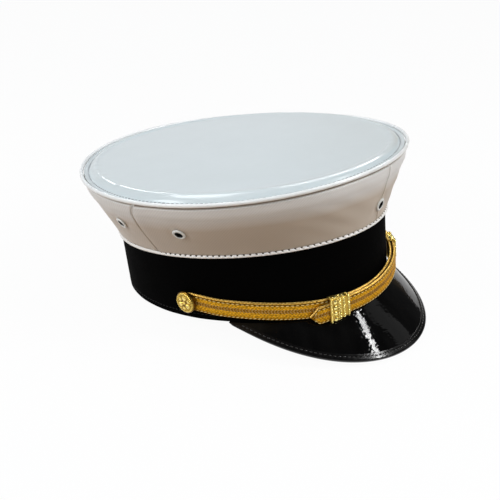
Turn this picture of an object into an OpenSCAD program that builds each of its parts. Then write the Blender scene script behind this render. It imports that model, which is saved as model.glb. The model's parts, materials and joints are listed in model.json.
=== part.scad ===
// Dress cap: stiff oval band, flared white crown, sloping patent visor and a lace front strap.
// Millimetres. The front of the cap faces -Y and the wearer's right is -X.
// Angles round the cap run from the front (0) to the wearer's right (90) and the back (180).

/* [Band] */
// Length of the band outside, front to back
band_length = 208.5; // [198:0.5:220]
// Width of the band outside, side to side
band_width = 175.3; // [166:0.5:186]
// How much wider the band is behind its middle than before it
band_egg = 0.056; // [0.03:0.002:0.07]
// Height of the band cloth at the front
band_front = 51; // [47:0.5:55]
// Height of the band cloth at the back
band_back = 40.7; // [39:0.1:45]
// Thickness of the band cloth
cover_t = 1.5; // [1:0.1:2]
// Thickness of the stiff band frame
frame_t = 1.2; // [0.8:0.1:1.6]
// How far the band frame reaches up behind the crown's hem
frame_rise = 6; // [4:0.5:9]
// Thickness of the sweatband
sweat_t = 1.2; // [0.8:0.1:1.8]
// Height of the sweatband
sweat_h = 34; // [25:0.5:36]
// Height of the reed that stiffens the sweatband's lower edge
reed_h = 2.4; // [1.5:0.1:4]

/* [Crown] */
// Length of the crown at its edge, front to back
crown_length = 240.4; // [232:0.2:252]
// Width of the crown at its edge, side to side
crown_width = 226.8; // [218:0.2:238]
// How much wider the crown's edge is before its middle than behind it
crown_egg = 0.027; // [0:0.003:0.05]
// How far the crown's middle lies behind the band's
crown_shift = 2.6; // [0:0.2:6]
// Height of the crown's edge above the band's lower edge
crown_height = 93.5; // [88:0.5:100]
// Rise of the edge at front and back, and its fall at the sides
crown_wave = 1.5; // [0:0.1:3]
// How much the crown's wall bulges between hem and edge
wall_bow = 0.03; // [0:0.005:0.05]
// How much steeper the crown's wall is at its ends than in its middle
wall_bend = 0.015; // [0:0.005:0.03]
// Thickness of the quarters
quarter_t = 1.6; // [1:0.1:2]
// Angle of the side seams from the front, at the crown's edge
side_seam = 89; // [86:1:92]
// How far back the side seams run on their way down to the hem, as an angle
seam_lean = 6; // [0:0.5:7]
// Height of the folded hem
hem_h = 2.4; // [1.5:0.1:4]
// How far the folded hem stands out from the wall
hem_t = 0.6; // [0.3:0.1:1]
// Diameter of the welt along the edge
welt_d = 3; // [2:0.1:4]
// Thickness of the top panel
top_t = 1.8; // [1.2:0.1:2.4]
// How far the top panel stands above the edge
top_rise = 2.6; // [2:0.1:5]
// Width of the top panel's round shoulder
shoulder_w = 12; // [8:0.5:16]
// Diameter of the spring ring that stretches the crown
ring_d = 3.4; // [2.4:0.1:4]
// Length of the sleeve that joins the spring ring's ends
sleeve_l = 14; // [8:0.5:18]
// Thickness of the lining
lining_t = 0.8; // [0.5:0.1:1.2]
// Length of the clear shield under the lining
shield_l = 120; // [80:1:140]
// Width of the clear shield under the lining
shield_w = 90; // [60:1:110]
// Thickness of the clear shield
shield_t = 0.5; // [0.3:0.1:1]
// Width of the front stay that holds the crown up
stay_w = 34; // [24:1:44]
// Thickness of the front stay
stay_t = 1; // [0.6:0.1:1.2]
// How far up the wall the front stay reaches, from hem to edge
stay_up = 0.88; // [0.7:0.01:0.9]
// How far above the visor board's flange the front stay begins
stay_clear = 5; // [3:0.5:8]

/* [Eyelets] */
// Diameter of the hole in the eyelets
hole_d = 5; // [3:0.1:6]
// Diameter of the eyelets' flange
flange_d = 9.2; // [8:0.1:11]
// Thickness of the eyelets' flange
flange_t = 0.9; // [0.6:0.1:1.4]
// Wall of the eyelets' barrel
barrel_t = 0.5; // [0.3:0.1:0.8]
// Thickness of the washers behind the eyelets
washer_t = 0.6; // [0.4:0.1:0.8]
// Angle of the side vents from the front
side_vent_angle = 78.5; // [70:0.5:82]
// Angle of the rear vents from the front
rear_vent_angle = 105; // [102:0.5:120]
// Height of the side vents on the wall, from hem to edge
side_vent_up = 0.5; // [0.35:0.01:0.65]
// Height of the rear vents on the wall, from hem to edge
rear_vent_up = 0.53; // [0.35:0.01:0.65]
// Height of the badge hole on the wall, from hem to edge
badge_up = 0.33; // [0.28:0.01:0.5]

/* [Visor] */
// How far the visor stands out before the band, seen from above
visor_reach = 28.8; // [24:0.1:36]
// Slope of the visor below the horizontal
visor_slope = 47.5; // [35:0.5:55]
// Angle of the visor's tips from the front
visor_angle = 70; // [62:0.5:74]
// How quickly the visor's reach falls away to its tips
visor_taper = 1.1; // [1:0.05:1.3]
// Thickness of the visor's patent top
patent_t = 0.9; // [0.8:0.1:1.6]
// Thickness of the visor's board
board_t = 1; // [0.8:0.1:2]
// Thickness of the visor's under lining
underlay_t = 0.4; // [0.3:0.1:1]
// Height of the board's flange inside the band
flange_h = 13; // [8:0.5:16]
// Width of the binding round the visor's edge
binding_w = 4.4; // [3:0.1:6]
// Thickness of the binding
binding_t = 0.6; // [0.4:0.1:1.2]

/* [Strap] */
// Width of the strap
strap_w = 12.7; // [10:0.1:14]
// Thickness of each strap
strap_t = 1.7; // [1.2:0.1:2]
// Gap between the two straps where they lie one on the other
lap_gap = 1; // [0.6:0.1:1.2]
// Gap between strap and band at the buttons
strap_gap_side = 1; // [0.8:0.1:1.5]
// Gap between strap and band at the front
strap_gap_front = 2; // [2:0.1:3.5]
// How far the strap sags below the buttons
strap_sag = 7.6; // [4:0.1:7.7]
// Angle where the strap hangs lowest, on the wearer's right
sag_at = 25; // [0:1:28]
// Half angle over which the strap sags
sag_angle = 42; // [36:1:46]
// Angle of the outer strap's point
outer_tip = 38.8; // [37:0.2:44]
// How far the outer strap's point hangs below the inner strap
tip_droop = 4.2; // [0:0.1:5]
// Angle of the inner strap's point, on the wearer's left
inner_tip = 47; // [45:0.5:52]
// Length of the straps' points
tip_l = 5.5; // [3:0.1:8]

/* [Slides] */
// Length of the slides along the strap
slide_l = 13.5; // [10:0.5:15]
// Wall of the slides
slide_t = 0.5; // [0.4:0.1:0.6]
// Angle of the wearer's right slide
slide_right_angle = 26.5; // [24:0.5:27]
// Angle of the wearer's left slide
slide_left_angle = 34; // [30:0.5:35]
// Clearance between slide and strap
slide_clear = 0.35; // [0.25:0.05:0.4]

/* [Buttons] */
// Diameter of the buttons
button_d = 15; // [12:0.5:18]
// Height of the buttons' dome
dome_h = 3.4; // [2.5:0.1:5]
// Wall of the buttons' dome
dome_t = 0.6; // [0.4:0.1:1]
// Angle of the buttons from the front
button_angle = 85; // [82:0.5:88]
// Height of the buttons above the band's lower edge
button_z = 13.9; // [13:0.1:18]
// Thickness of the buttons' back plate
plate_t = 0.8; // [0.5:0.1:1.2]
// Diameter of the buttons' posts
post_d = 3; // [2:0.1:3.5]
// Diameter of the nuts inside the band
nut_d = 7; // [6:0.1:8]
// Thickness of the nuts
nut_t = 1; // [0.8:0.1:1.1]

/* [Fits] */
// Gap between layers that are sewn or glued together
layer_gap = 0.1; // [0.05:0.05:0.2]
// Gap between pieces that are seated on each other
seat_gap = 0.3; // [0.2:0.05:0.4]
// Gap round the posts where the straps turn on them
pivot_gap = 0.25; // [0.15:0.05:0.4]
// Gap along the crown's seams
seam_gap = 0.2; // [0.1:0.05:0.4]

/* [Hidden] */

// Steps round the cap, and round a small bead
ring_steps = 72;
lining_steps = 60;
bead_steps = 8;
visor_steps = 36;
wall_rows = 7;
strap_step = 3;
slide_steps = 6;
$fn = 48;

RIGHT = 1;
LEFT = -1;

// Half sizes of the two ovals
band_a = band_length / 2;
band_b = band_width / 2;
crown_a = crown_length / 2;
crown_b = crown_width / 2;

// Places of the band's layers, measured outward from the face of its cloth
frame_out = -cover_t - layer_gap;
frame_in = frame_out - frame_t;
slot_w = max(board_t + 2 * layer_gap + seat_gap, nut_t + 4 * seat_gap);
sweat_out = frame_in - slot_w;
sweat_in = sweat_out - sweat_t;
board_out = frame_in - layer_gap;
board_in = board_out - board_t;
bottom_round = 0.8;

// The welt's seat: gap between its middle and the panels that it joins
welt_seat = welt_d / 2 + seat_gap;
top_flat_z = crown_height + top_rise;

// Depths of the visor's layers below its top face
patent_low = patent_t;
board_high = patent_low + layer_gap;
board_low = board_high + board_t;
underlay_high = board_low + layer_gap;
underlay_low = underlay_high + underlay_t;
visor_seat = 0.3;
visor_stub = 0.8;

// Buttons: the posts share one axis across the cap
button_y = oval(band_a, band_b, band_egg, button_angle).y;
tab_in = band_b + strap_gap_side / 2;
tab_out = tab_in + strap_t;
plate_in = tab_out + seat_gap;
plate_out = plate_in + plate_t;
button_half = band_at(button_angle, 0)[0];
nut_out = -button_half + frame_in - seat_gap - nut_d / 2 * abs(band_normal(button_angle).y);
nut_in = nut_out - nut_t;

// An egg-shaped oval, with the angle measured from the front
function oval(a, b, egg, t) = [-b * sin(t) * (1 - egg * cos(t)), -a * cos(t)];
function unit(v) = v / norm(v);
function turn_left(v) = [-v.y, v.x];
function normal_of(a, b, egg, t) =
  unit(turn_left(oval(a, b, egg, t + 1) - oval(a, b, egg, t - 1)));
function backward(list) = [for (k = [len(list) - 1:-1:0]) list[k]];
// A smooth step from 0 to 1
function ease(x) = let (c = min(max(x, 0), 1)) c * c * (3 - 2 * c);

// A point beside the band's cloth, and the direction away from it
function band_normal(t) = normal_of(band_a, band_b, band_egg, t);
function band_at(t, out) = oval(band_a, band_b, band_egg, t) + out * band_normal(t);
function hem_z(t) = (band_front + band_back) / 2 + (band_front - band_back) / 2 * cos(t);
function with_z(p, z) = [p.x, p.y, z];

// A point near the crown's edge
function edge_normal(t) = normal_of(crown_a, crown_b, -crown_egg, t);
function edge_z(t) = crown_height + crown_wave * cos(2 * t);
function edge_at(t, out, up) =
  with_z(
    oval(crown_a, crown_b, -crown_egg, t) + [0, crown_shift] + out * edge_normal(t),
    edge_z(t) + up
  );

// The crown's wall: u runs from 0 at the hem to 1 below the welt
hem_out = 0.5;
function wall_foot(t) = with_z(band_at(t, hem_out), hem_z(t));
function wall_head(t) = edge_at(t, -seat_gap, -welt_seat);
function wall(t, u) =
  let (
    foot = wall_foot(t),
    head = wall_head(t),
    flare = u + wall_bow * sin(180 * u) - wall_bend * sin(360 * u)
  )
  [
    foot.x + (head.x - foot.x) * flare,
    foot.y + (head.y - foot.y) * flare,
    foot.z + (head.z - foot.z) * u
  ];
function wall_normal(t, u) =
  unit(cross(wall(t, u + 0.02) - wall(t, u - 0.02), wall(t + 1, u) - wall(t - 1, u)));
function wall_at(t, u, out) = wall(t, u) + out * wall_normal(t, u);

// Joins rows of points into a closed skin; every row is a loop with an even number of points.
// The faces are turned outward whichever way the rows run.
module skin(rows, closed = false) {
  n = len(rows);
  m = len(rows[0]);
  last = closed ? n - 1 : n - 2;
  sides = [
    for (i = [0:last], j = [0:m - 1])
      let (k = (i + 1) % n, l = (j + 1) % m)
        each [[i * m + j, i * m + l, k * m + l], [i * m + j, k * m + l, k * m + j]]
  ];
  end = (n - 1) * m;
  caps = closed ? [] : [
    for (j = [0:m / 2 - 2])
      let (o = m - 1 - j)
        each [
          [j, o, o - 1], [j, o - 1, j + 1],
          [end + j, end + o - 1, end + o], [end + j, end + j + 1, end + o - 1]
        ]
  ];
  points = [for (r = rows) each r];
  faces = concat(sides, caps);
  outward = [for (f = faces) points[f[0]] * cross(points[f[1]], points[f[2]])] * [for (f = faces) 1] < 0;
  polyhedron(points, outward ? faces : [for (f = faces) backward(f)], convexity = 8);
}

// Turns +Z to a direction
module aim(v) {
  rotate([0, acos(v.z), atan2(v.y, v.x)]) children();
}

// Stands the cap on its back edge and the tip of its visor, over the middle of its outline
binding_front = [for (q = binding_section()) visor_point(0, q.x, q.y)];
tilt = max([for (p = binding_front) atan2(-p.z, band_a - bottom_round - p.y)]);
function stood_y(p) = p.y * cos(tilt) + p.z * sin(tilt);
stood_back = max([for (k = [0:15]) stood_y(edge_at(180, 0, 0) + welt_d / 2 * bead_way(k * 22.5))]);
stood_front = min([for (p = binding_front) stood_y(p)]);
function bead_way(angle) = [0, cos(angle), sin(angle)];
module stand() {
  translate([0, -(stood_back + stood_front) / 2, (band_a - bottom_round) * sin(tilt)])
    rotate([-tilt, 0, 0]) children();
}

// A ring of the band, or part of one; section_of gives its [out, height] corners at each angle
module band_ring(section_of, steps, from = 0, to = 360) {
  closed = to - from == 360;
  count = closed ? steps - 1 : steps;
  skin(
    [
      for (i = [0:count])
        let (t = from + (to - from) * i / steps)
          [for (q = section_of(t)) with_z(band_at(t, q.x), q.y)]
    ],
    closed
  );
}

// One straight cut along the posts' axis
module post_cut(gap) {
  translate([0, button_y, button_z])
    rotate([0, 90, 0]) cylinder(d = post_d + 2 * gap, h = 2 * crown_width, center = true);
}

// Crown

module crown_top() {
  arcs = [for (k = [0:6]) k * 15];
  rim = top_t / 2;
  function ring(arc, drop) = [
    for (i = [0:ring_steps - 1])
      let (
        t = i * 360 / ring_steps,
        inset = shoulder_w * (1 - cos(arc)),
        flat = inset / shoulder_w,
        p = edge_at(t, -welt_seat - inset, 0)
      )
      with_z(p, edge_z(t) * (1 - flat) + crown_height * flat + rim + (top_rise - rim) * sin(arc) - drop)
  ];
  under = [for (k = [6:-1:0]) ring(arcs[k], top_t)];
  over = [for (k = [0:6]) ring(arcs[k], 0)];
  color("whitesmoke") stand() skin(concat(under, over));
}

module crown_welt() {
  color("white") stand() edge_bead(0, 0, welt_d / 2, bead_steps, 0, 360);
}

// A bead that runs along the crown's edge, at a place given outward and upward from it
module edge_bead(out, up, r, sides, from, to) {
  closed = to - from == 360;
  count = closed ? ring_steps - 1 : ring_steps;
  skin(
    [
      for (i = [0:count])
        let (t = from + (to - from) * i / ring_steps)
          [
            for (j = [0:sides - 1])
              edge_at(t, out + r * cos(-j * 360 / sides), up + r * sin(-j * 360 / sides))
          ]
    ],
    closed
  );
}

// One quarter of the wall between two seams, with its folded hem.
// The seams' angles are given at the crown's edge, with how far they lean on the way down.
module quarter(from, to, from_lean, to_lean) {
  fold = hem_h / (crown_height - hem_z(90));
  fold_end = (hem_h + hem_t) / (crown_height - hem_z(90));
  ups = concat([0, fold], [for (k = [0:wall_rows]) fold_end + (1 - fold_end) * k / wall_rows]);
  steps = ring_steps / 4;
  half_gap = seam_gap / 2 / crown_b * 180 / PI;
  function between(i, u) =
    let (
      low = 1 - pow(u, 3),
      start = from + from_lean * low + half_gap,
      end = to + to_lean * low - half_gap
    )
    start + (end - start) * i / steps;
  skin(
    [
      for (i = [0:steps])
        concat(
          [for (u = ups) wall_at(between(i, u), u, u <= fold ? hem_t : 0)],
          [for (u = backward(ups)) wall_at(between(i, u), u, -quarter_t)]
        )
    ]
  );
}

module hole_cut(t, u) {
  translate(wall(t, u)) aim(wall_normal(t, u))
      cylinder(d = hole_d + 2 * barrel_t + 2 * seat_gap, h = 4 * flange_d, center = true);
}

module quarter_front_right() {
  color("white") stand() difference() {
        quarter(0, side_seam, 0, seam_lean);
        hole_cut(side_vent_angle, side_vent_up);
        hole_cut(0, badge_up);
      }
}

module quarter_front_left() {
  color("white") stand() difference() {
        quarter(-side_seam, 0, -seam_lean, 0);
        hole_cut(-side_vent_angle, side_vent_up);
        hole_cut(0, badge_up);
      }
}

module quarter_rear_right() {
  color("white") stand() difference() {
        quarter(side_seam, 180, seam_lean, 0);
        hole_cut(rear_vent_angle, rear_vent_up);
      }
}

module quarter_rear_left() {
  color("white") stand() difference() {
        quarter(180, 360 - side_seam, 0, -seam_lean);
        hole_cut(-rear_vent_angle, rear_vent_up);
      }
}

// The spring ring lies in the corner below the top panel, open at the back where the sleeve joins it
ring_r = ring_d / 2;
ring_out = -quarter_t - 4 * seat_gap - ring_r - welt_seat / 2;
ring_up = -welt_seat - ring_r / 2;
ring_cut = seam_gap / crown_a * 180 / PI;

module crown_spring_ring() {
  color("dimgray") stand()
      edge_bead(ring_out, ring_up, ring_r, 6, -180 + ring_cut, 180 - ring_cut);
}

module spring_ring_sleeve() {
  bore_r = ring_r + 1.5 * seat_gap;
  color("silver") stand() translate(edge_at(180, ring_out, ring_up)) rotate([0, 90, 0])
          difference() {
            cylinder(r = bore_r + seat_gap, h = sleeve_l, center = true);
            cylinder(r = bore_r, h = 2 * sleeve_l, center = true);
          }
}

// The stay stands inside the band frame and leans on the front quarters up to the spring ring
stay_out = frame_in - seat_gap - hem_out;
stay_foot = flange_h + stay_clear;

// Share of the wall that the band frame stands behind
frame_up = (frame_rise + 2 * seat_gap) / (crown_height - hem_z(0));

module front_stay() {
  half = stay_w / 2 / band_a * 180 / PI;
  foot_ups = [for (k = [0:3]) stay_foot + (hem_z(0) + frame_rise - stay_foot) * k / 3];
  wall_ups = [for (k = [1:wall_rows]) frame_up + (stay_up - frame_up) * k / wall_rows];
  function layer(t, out) = concat(
    [for (z = foot_ups) with_z(band_at(t, hem_out + out), z)],
    [for (u = wall_ups) wall_at(t, u, out)]
  );
  color("darkgray") stand() difference() {
        skin(
          [
            for (k = [-4:4])
              let (t = half * k / 4)
                concat(layer(t, stay_out), backward(layer(t, stay_out - stay_t)))
          ]
        );
        hole_cut(0, badge_up);
      }
}

// The lining hangs inside the stay and the spring ring, and closes under the top panel
lining_out = stay_out - stay_t - seat_gap;
lining_roof = top_flat_z - top_t - seat_gap;
lining_up = 0.8;
lining_rows = 4;
roof_dip = 2;

module crown_lining() {
  heights = [for (k = [1:lining_rows]) frame_up + (lining_up - frame_up) * k / lining_rows];
  foot_ups = [layer_gap, frame_rise + seat_gap];
  roof_inset = shoulder_w;
  function wall_ring(u, out) = [
    for (i = [0:lining_steps - 1]) wall_at(i * 360 / lining_steps, u, out)
  ];
  function foot_ring(up, out) = [
    for (i = [0:lining_steps - 1])
      let (t = i * 360 / lining_steps)
        with_z(band_at(t, hem_out + out), hem_z(t) + up)
  ];
  function roof_ring(inset, z) = [
    for (i = [0:lining_steps - 1]) with_z(edge_at(i * 360 / lining_steps, -inset, 0), z)
  ];
  function side_rings(out) = concat(
    [for (up = foot_ups) foot_ring(up, out)],
    [for (u = heights) wall_ring(u, out)]
  );
  color("gainsboro") stand() skin(
        concat(
          [roof_ring(2 * roof_inset, lining_roof - lining_t)],
          [roof_ring(roof_inset + lining_t, lining_roof - roof_dip - lining_t)],
          backward(side_rings(lining_out - lining_t)),
          side_rings(lining_out),
          [roof_ring(roof_inset, lining_roof - roof_dip)],
          [roof_ring(2 * roof_inset, lining_roof)]
        )
      );
}

module lining_shield() {
  color("lightcyan", 0.5) stand()
      translate([0, crown_shift, lining_roof - lining_t - layer_gap - shield_t])
        linear_extrude(shield_t)
          polygon([for (i = [0:ring_steps - 1]) oval(shield_l / 2, shield_w / 2, 0, i * 360 / ring_steps)]);
}

// Eyelets and washers

barrel_r = hole_d / 2 + barrel_t;
washer_low = quarter_t + seat_gap + washer_t;

module eyelet(t, u) {
  dome = [
    for (k = [0:6])
      let (angle = k * 30)
        [
          (flange_d + hole_d) / 4 + (flange_d - hole_d) / 4 * cos(angle),
          seat_gap + flange_t * sin(angle)
        ]
  ];
  roll_r = barrel_r + barrel_t;
  roll_low = -washer_low - layer_gap - barrel_t;
  translate(wall(t, u)) aim(wall_normal(t, u)) rotate_extrude()
        polygon(
          concat(
            dome,
            [
              [hole_d / 2, roll_low], [roll_r, roll_low],
              [roll_r, roll_low + barrel_t], [barrel_r, roll_low + barrel_t],
              [barrel_r, seat_gap]
            ]
          )
        );
}

module washer(t, u) {
  translate(wall(t, u)) aim(wall_normal(t, u)) translate([0, 0, -washer_low]) difference() {
          cylinder(d = flange_d, h = washer_t);
          translate([0, 0, -washer_t]) cylinder(r = barrel_r + layer_gap, h = 3 * washer_t);
        }
}

module vent_eyelet_side_right() {
  color("white") stand() eyelet(side_vent_angle, side_vent_up);
}

module vent_eyelet_side_left() {
  color("white") stand() eyelet(-side_vent_angle, side_vent_up);
}

module vent_eyelet_rear_right() {
  color("white") stand() eyelet(rear_vent_angle, rear_vent_up);
}

module vent_eyelet_rear_left() {
  color("white") stand() eyelet(-rear_vent_angle, rear_vent_up);
}

module vent_washer_side_right() {
  color("silver") stand() washer(side_vent_angle, side_vent_up);
}

module vent_washer_side_left() {
  color("silver") stand() washer(-side_vent_angle, side_vent_up);
}

module vent_washer_rear_right() {
  color("silver") stand() washer(rear_vent_angle, rear_vent_up);
}

module vent_washer_rear_left() {
  color("silver") stand() washer(-rear_vent_angle, rear_vent_up);
}

module badge_eyelet() {
  color("white") stand() eyelet(0, badge_up);
}

module badge_washer() {
  color("silver") stand() washer(0, badge_up);
}

// Band

module band_cover() {
  section = function (t) [
    [-cover_t, 0], [-bottom_round, 0], [-bottom_round * 0.3, bottom_round * 0.3],
    [0, bottom_round], [0, hem_z(t) - seat_gap], [-cover_t, hem_z(t) - seat_gap]
  ];
  color("black") stand() difference() {
        band_ring(section, ring_steps);
        post_cut(pivot_gap);
      }
}

module band_frame() {
  section = function (t) [
    [frame_in, 0], [frame_out, 0],
    [frame_out, hem_z(t) + frame_rise], [frame_in, hem_z(t) + frame_rise]
  ];
  color("dimgray") stand() difference() {
        band_ring(section, ring_steps);
        post_cut(pivot_gap);
      }
}

module sweatband() {
  section = function (t) [
    [sweat_in, seat_gap], [sweat_out, seat_gap], [sweat_out, sweat_h], [sweat_in, sweat_h]
  ];
  color("saddlebrown") stand() band_ring(section, ring_steps);
}

module sweatband_reed() {
  tip = visor_angle + 4;
  section = function (t) [
    [sweat_out + layer_gap, seat_gap], [frame_in - layer_gap, seat_gap],
    [frame_in - layer_gap, reed_h], [sweat_out + layer_gap, reed_h]
  ];
  color("black") stand() band_ring(section, 2 * visor_steps, tip, 360 - tip);
}

// Visor

// A point of the visor: along is measured down the slope from the outer edge at angle t,
// and up is measured square to the top face
function visor_half(u) = visor_reach * pow(cos(90 * u), visor_taper);
// The layers thin towards the visor's tips
function visor_thin(u) = 0.4 + 0.6 * ease((1 - abs(u)) / 0.2);
function visor_point(u, along, up) =
  let (
    lift = up * visor_thin(u),
    out = visor_half(u) + along * cos(visor_slope) + lift * sin(visor_slope),
    z = -visor_seat - visor_half(u) * tan(visor_slope) - along * sin(visor_slope)
      + lift * cos(visor_slope)
  )
  with_z(band_at(u * visor_angle, out), z);
// Where a layer turns from under the band into the slope
function visor_knee(u, low) =
  let (drop = low * visor_thin(u))
  with_z(band_at(u * visor_angle, -drop * tan(visor_slope / 2)), -visor_seat - drop);
function visor_face(u, low, root) =
  let (edge = visor_point(u, 0, -low), knee = visor_knee(u, low))
  concat(
    [with_z(band_at(u * visor_angle, root), knee.z)],
    [for (k = [0:4]) knee + (edge - knee) * k / 4]
  );
function visor_ends(stub) = acos(pow(stub / visor_reach, 1 / visor_taper)) / 90;
function visor_us(stub) = [
  for (i = [0:visor_steps]) visor_ends(stub) * (2 * i / visor_steps - 1)
];

module visor_layer(high, low, root_high, root_low) {
  skin(
    [
      for (u = visor_us(visor_stub))
        concat(visor_face(u, low, root_low), backward(visor_face(u, high, root_high)))
    ]
  );
}

module visor_top() {
  color("black") stand() visor_layer(0, patent_low, board_out + layer_gap, board_out + layer_gap);
}

module visor_board() {
  function top_of(u, out) = [with_z(band_at(u * visor_angle, out), flange_h)];
  color("dimgray") stand() skin(
        [
          for (u = visor_us(visor_stub))
            concat(
              top_of(u, board_in),
              visor_face(u, board_low, board_in),
              backward(visor_face(u, board_high, board_out)),
              top_of(u, board_out)
            )
        ]
      );
}

module visor_underlay() {
  color("darkolivegreen") stand() visor_layer(underlay_high, underlay_low, board_in, board_in);
}

// Section of the binding: a channel round the visor's edge, as [along, up]
function binding_section() =
  let (
    inner_low = -underlay_low - layer_gap,
    outer_low = inner_low - binding_t,
    outer_high = layer_gap + binding_t,
    front = layer_gap + binding_t,
    middle = (inner_low + layer_gap) / 2
  )
  [
    [-binding_w, outer_low], [0, outer_low], [front, outer_low + binding_t],
    [front + layer_gap, middle], [front, 0], [0, outer_high], [-binding_w, outer_high],
    [-binding_w, layer_gap], [0, layer_gap], [layer_gap, layer_gap / 2],
    [layer_gap, middle], [layer_gap, inner_low + layer_gap / 2],
    [0, inner_low], [-binding_w, inner_low]
  ];

module visor_binding() {
  stub = (binding_w + binding_t + seat_gap) * cos(visor_slope) + visor_stub;
  color("black") stand() skin(
        [
          for (u = visor_us(stub))
            [for (q = binding_section()) visor_point(u, q.x, q.y)]
        ]
      );
}

// Strap

function strap_z(t) = button_z - strap_sag * exp(-pow((t - sag_at) / sag_angle, 2));
function strap_gap(t) =
  strap_gap_side + (strap_gap_front - strap_gap_side) * cos(90 * t / button_angle);
// The outer strap lies on the inner one, and comes in to the band behind the inner strap's point
lap_end = 76;
function lap(t) = (strap_t + lap_gap) * ease((t + lap_end) / (lap_end - inner_tip));
// The outer strap's point swings down below the inner strap
droop_start = 20;
function droop(t) = tip_droop * ease((t - droop_start) / (outer_tip - droop_start));
// How much of the strap's width is left towards its point
function narrow(t, tip) =
  let (left = (tip - t) * PI / 180 * band_b)
  min(1, 0.06 + 0.94 * max(left, 0) / tip_l);

function strap_section(t, out, thick, low, high) = [
  with_z(band_at(t, out), low), with_z(band_at(t, out + thick), low),
  with_z(band_at(t, out + thick), high), with_z(band_at(t, out), high)
];

function strap_ts(from, to) =
  let (count = ceil((to - from) / strap_step))
  [for (i = [0:count]) from + (to - from) * i / count];
function tip_ts(tip) =
  let (back = tip_l / band_b * 180 / PI)
  [tip - back, tip - back / 2, tip];

// The round end of a strap on its button's post
module strap_tab(side) {
  translate([-side * (tab_in + strap_t / 2), button_y, button_z])
    rotate([0, 90, 0]) cylinder(d = strap_w + 2 * seat_gap, h = strap_t, center = true);
}

module strap_right() {
  tip_back = tip_l / band_b * 180 / PI;
  ts = concat(
    [for (t = backward(tip_ts(inner_tip))) -t],
    strap_ts(-inner_tip + tip_back + strap_step, button_angle)
  );
  color("goldenrod") stand() difference() {
        union() {
          skin(
            [
              for (t = ts)
                let (half = strap_w / 2 * narrow(-t, inner_tip))
                  strap_section(t, strap_gap(t), strap_t, strap_z(t) - half, strap_z(t) + half)
            ]
          );
          strap_tab(RIGHT);
        }
        post_cut(pivot_gap);
      }
}

module strap_left() {
  tip_back = tip_l / band_b * 180 / PI;
  ts = concat(strap_ts(-button_angle, outer_tip - tip_back - strap_step), tip_ts(outer_tip));
  color("goldenrod") stand() difference() {
        union() {
          skin(
            [
              for (t = ts)
                let (
                  half = strap_w / 2 * narrow(t, outer_tip),
                  out = strap_gap(t) + lap(t),
                  z = strap_z(t) - droop(t)
                )
                strap_section(t, out, strap_t, z - half, z + half)
            ]
          );
          strap_tab(LEFT);
        }
        post_cut(pivot_gap);
      }
}

// A slide: a loop round both straps
slide_travel = 1.5;
slide_side = 0.4;

module slide(angle, hang) {
  half = slide_l / 2 / (band_b + strap_gap_front) * 180 / PI;
  // Six corners: the lower side leans outward to take the outer strap's hanging end
  function row(t, grow) =
    let (
      z = strap_z(t),
      inner = strap_gap(t) - slide_clear - grow,
      middle = strap_gap(t) + strap_t + lap_gap / 2,
      outer = strap_gap(t) + 2 * strap_t + lap_gap + slide_clear + grow,
      high = z + strap_w / 2 + slide_side + grow,
      low = z - strap_w / 2 - slide_side - grow,
      hung = low - (hang ? droop(t + slide_travel) : 0)
    )
    [
      with_z(band_at(t, inner), low),
      with_z(band_at(t, middle), hung), with_z(band_at(t, outer), hung),
      with_z(band_at(t, outer), high), with_z(band_at(t, middle), high),
      with_z(band_at(t, inner), high)
    ];
  difference() {
    skin([for (i = [-slide_steps:slide_steps]) row(angle + half * i / slide_steps, slide_t)]);
    skin([for (i = [-slide_steps - 1:slide_steps + 1]) row(angle + half * i / slide_steps, 0)]);
  }
}

module slide_right() {
  color("gold") stand() slide(slide_right_angle, true);
}

module slide_left() {
  color("gold") stand() slide(-slide_left_angle, false);
}

// Buttons

// Puts a piece that points along +Z on the posts' axis, at a distance from the cap's middle
module on_post(side, distance) {
  translate([-side * distance, button_y, button_z]) rotate([0, -side * 90, 0]) children();
}

module button_face(side) {
  dome_r = button_d / 2;
  rim_h = plate_t + dome_t;
  arcs = [for (k = [0:8]) k * 90 / 8];
  color("gold") stand() on_post(side, plate_in) rotate_extrude()
          polygon(
            concat(
              [[dome_r - dome_t, 0], [dome_r, 0]],
              [for (a = arcs) [dome_r * cos(a), rim_h + (dome_h - rim_h) * sin(a)]],
              [
                for (k = [len(arcs) - 1:-1:0])
                  [
                    (dome_r - dome_t) * cos(arcs[k]),
                    rim_h + (dome_h - rim_h - dome_t) * sin(arcs[k])
                  ]
              ]
            )
          );
}

module button_back(side) {
  post_l = plate_in - nut_in;
  color("darkgoldenrod") stand() on_post(side, plate_in) {
        cylinder(r = button_d / 2 - dome_t - layer_gap, h = plate_t);
        translate([0, 0, -post_l]) cylinder(d = post_d, h = post_l + plate_t / 2);
      }
}

module button_nut(side) {
  color("silver") stand() on_post(side, nut_in) difference() {
          cylinder(d = nut_d, h = nut_t);
          translate([0, 0, -nut_t]) cylinder(d = post_d + pivot_gap, h = 3 * nut_t);
        }
}

module button_right() {
  button_face(RIGHT);
}

module button_left() {
  button_face(LEFT);
}

module button_back_right() {
  button_back(RIGHT);
}

module button_back_left() {
  button_back(LEFT);
}

module button_nut_right() {
  button_nut(RIGHT);
}

module button_nut_left() {
  button_nut(LEFT);
}

crown_top();
crown_welt();
quarter_front_right();
quarter_front_left();
quarter_rear_right();
quarter_rear_left();
crown_spring_ring();
spring_ring_sleeve();
front_stay();
crown_lining();
lining_shield();
vent_eyelet_side_right();
vent_eyelet_side_left();
vent_eyelet_rear_right();
vent_eyelet_rear_left();
vent_washer_side_right();
vent_washer_side_left();
vent_washer_rear_right();
vent_washer_rear_left();
badge_eyelet();
badge_washer();
band_cover();
band_frame();
sweatband();
sweatband_reed();
visor_top();
visor_board();
visor_underlay();
visor_binding();
strap_right();
strap_left();
slide_right();
slide_left();
button_right();
button_left();
button_back_right();
button_back_left();
button_nut_right();
button_nut_left();
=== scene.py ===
import json
import math

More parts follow.
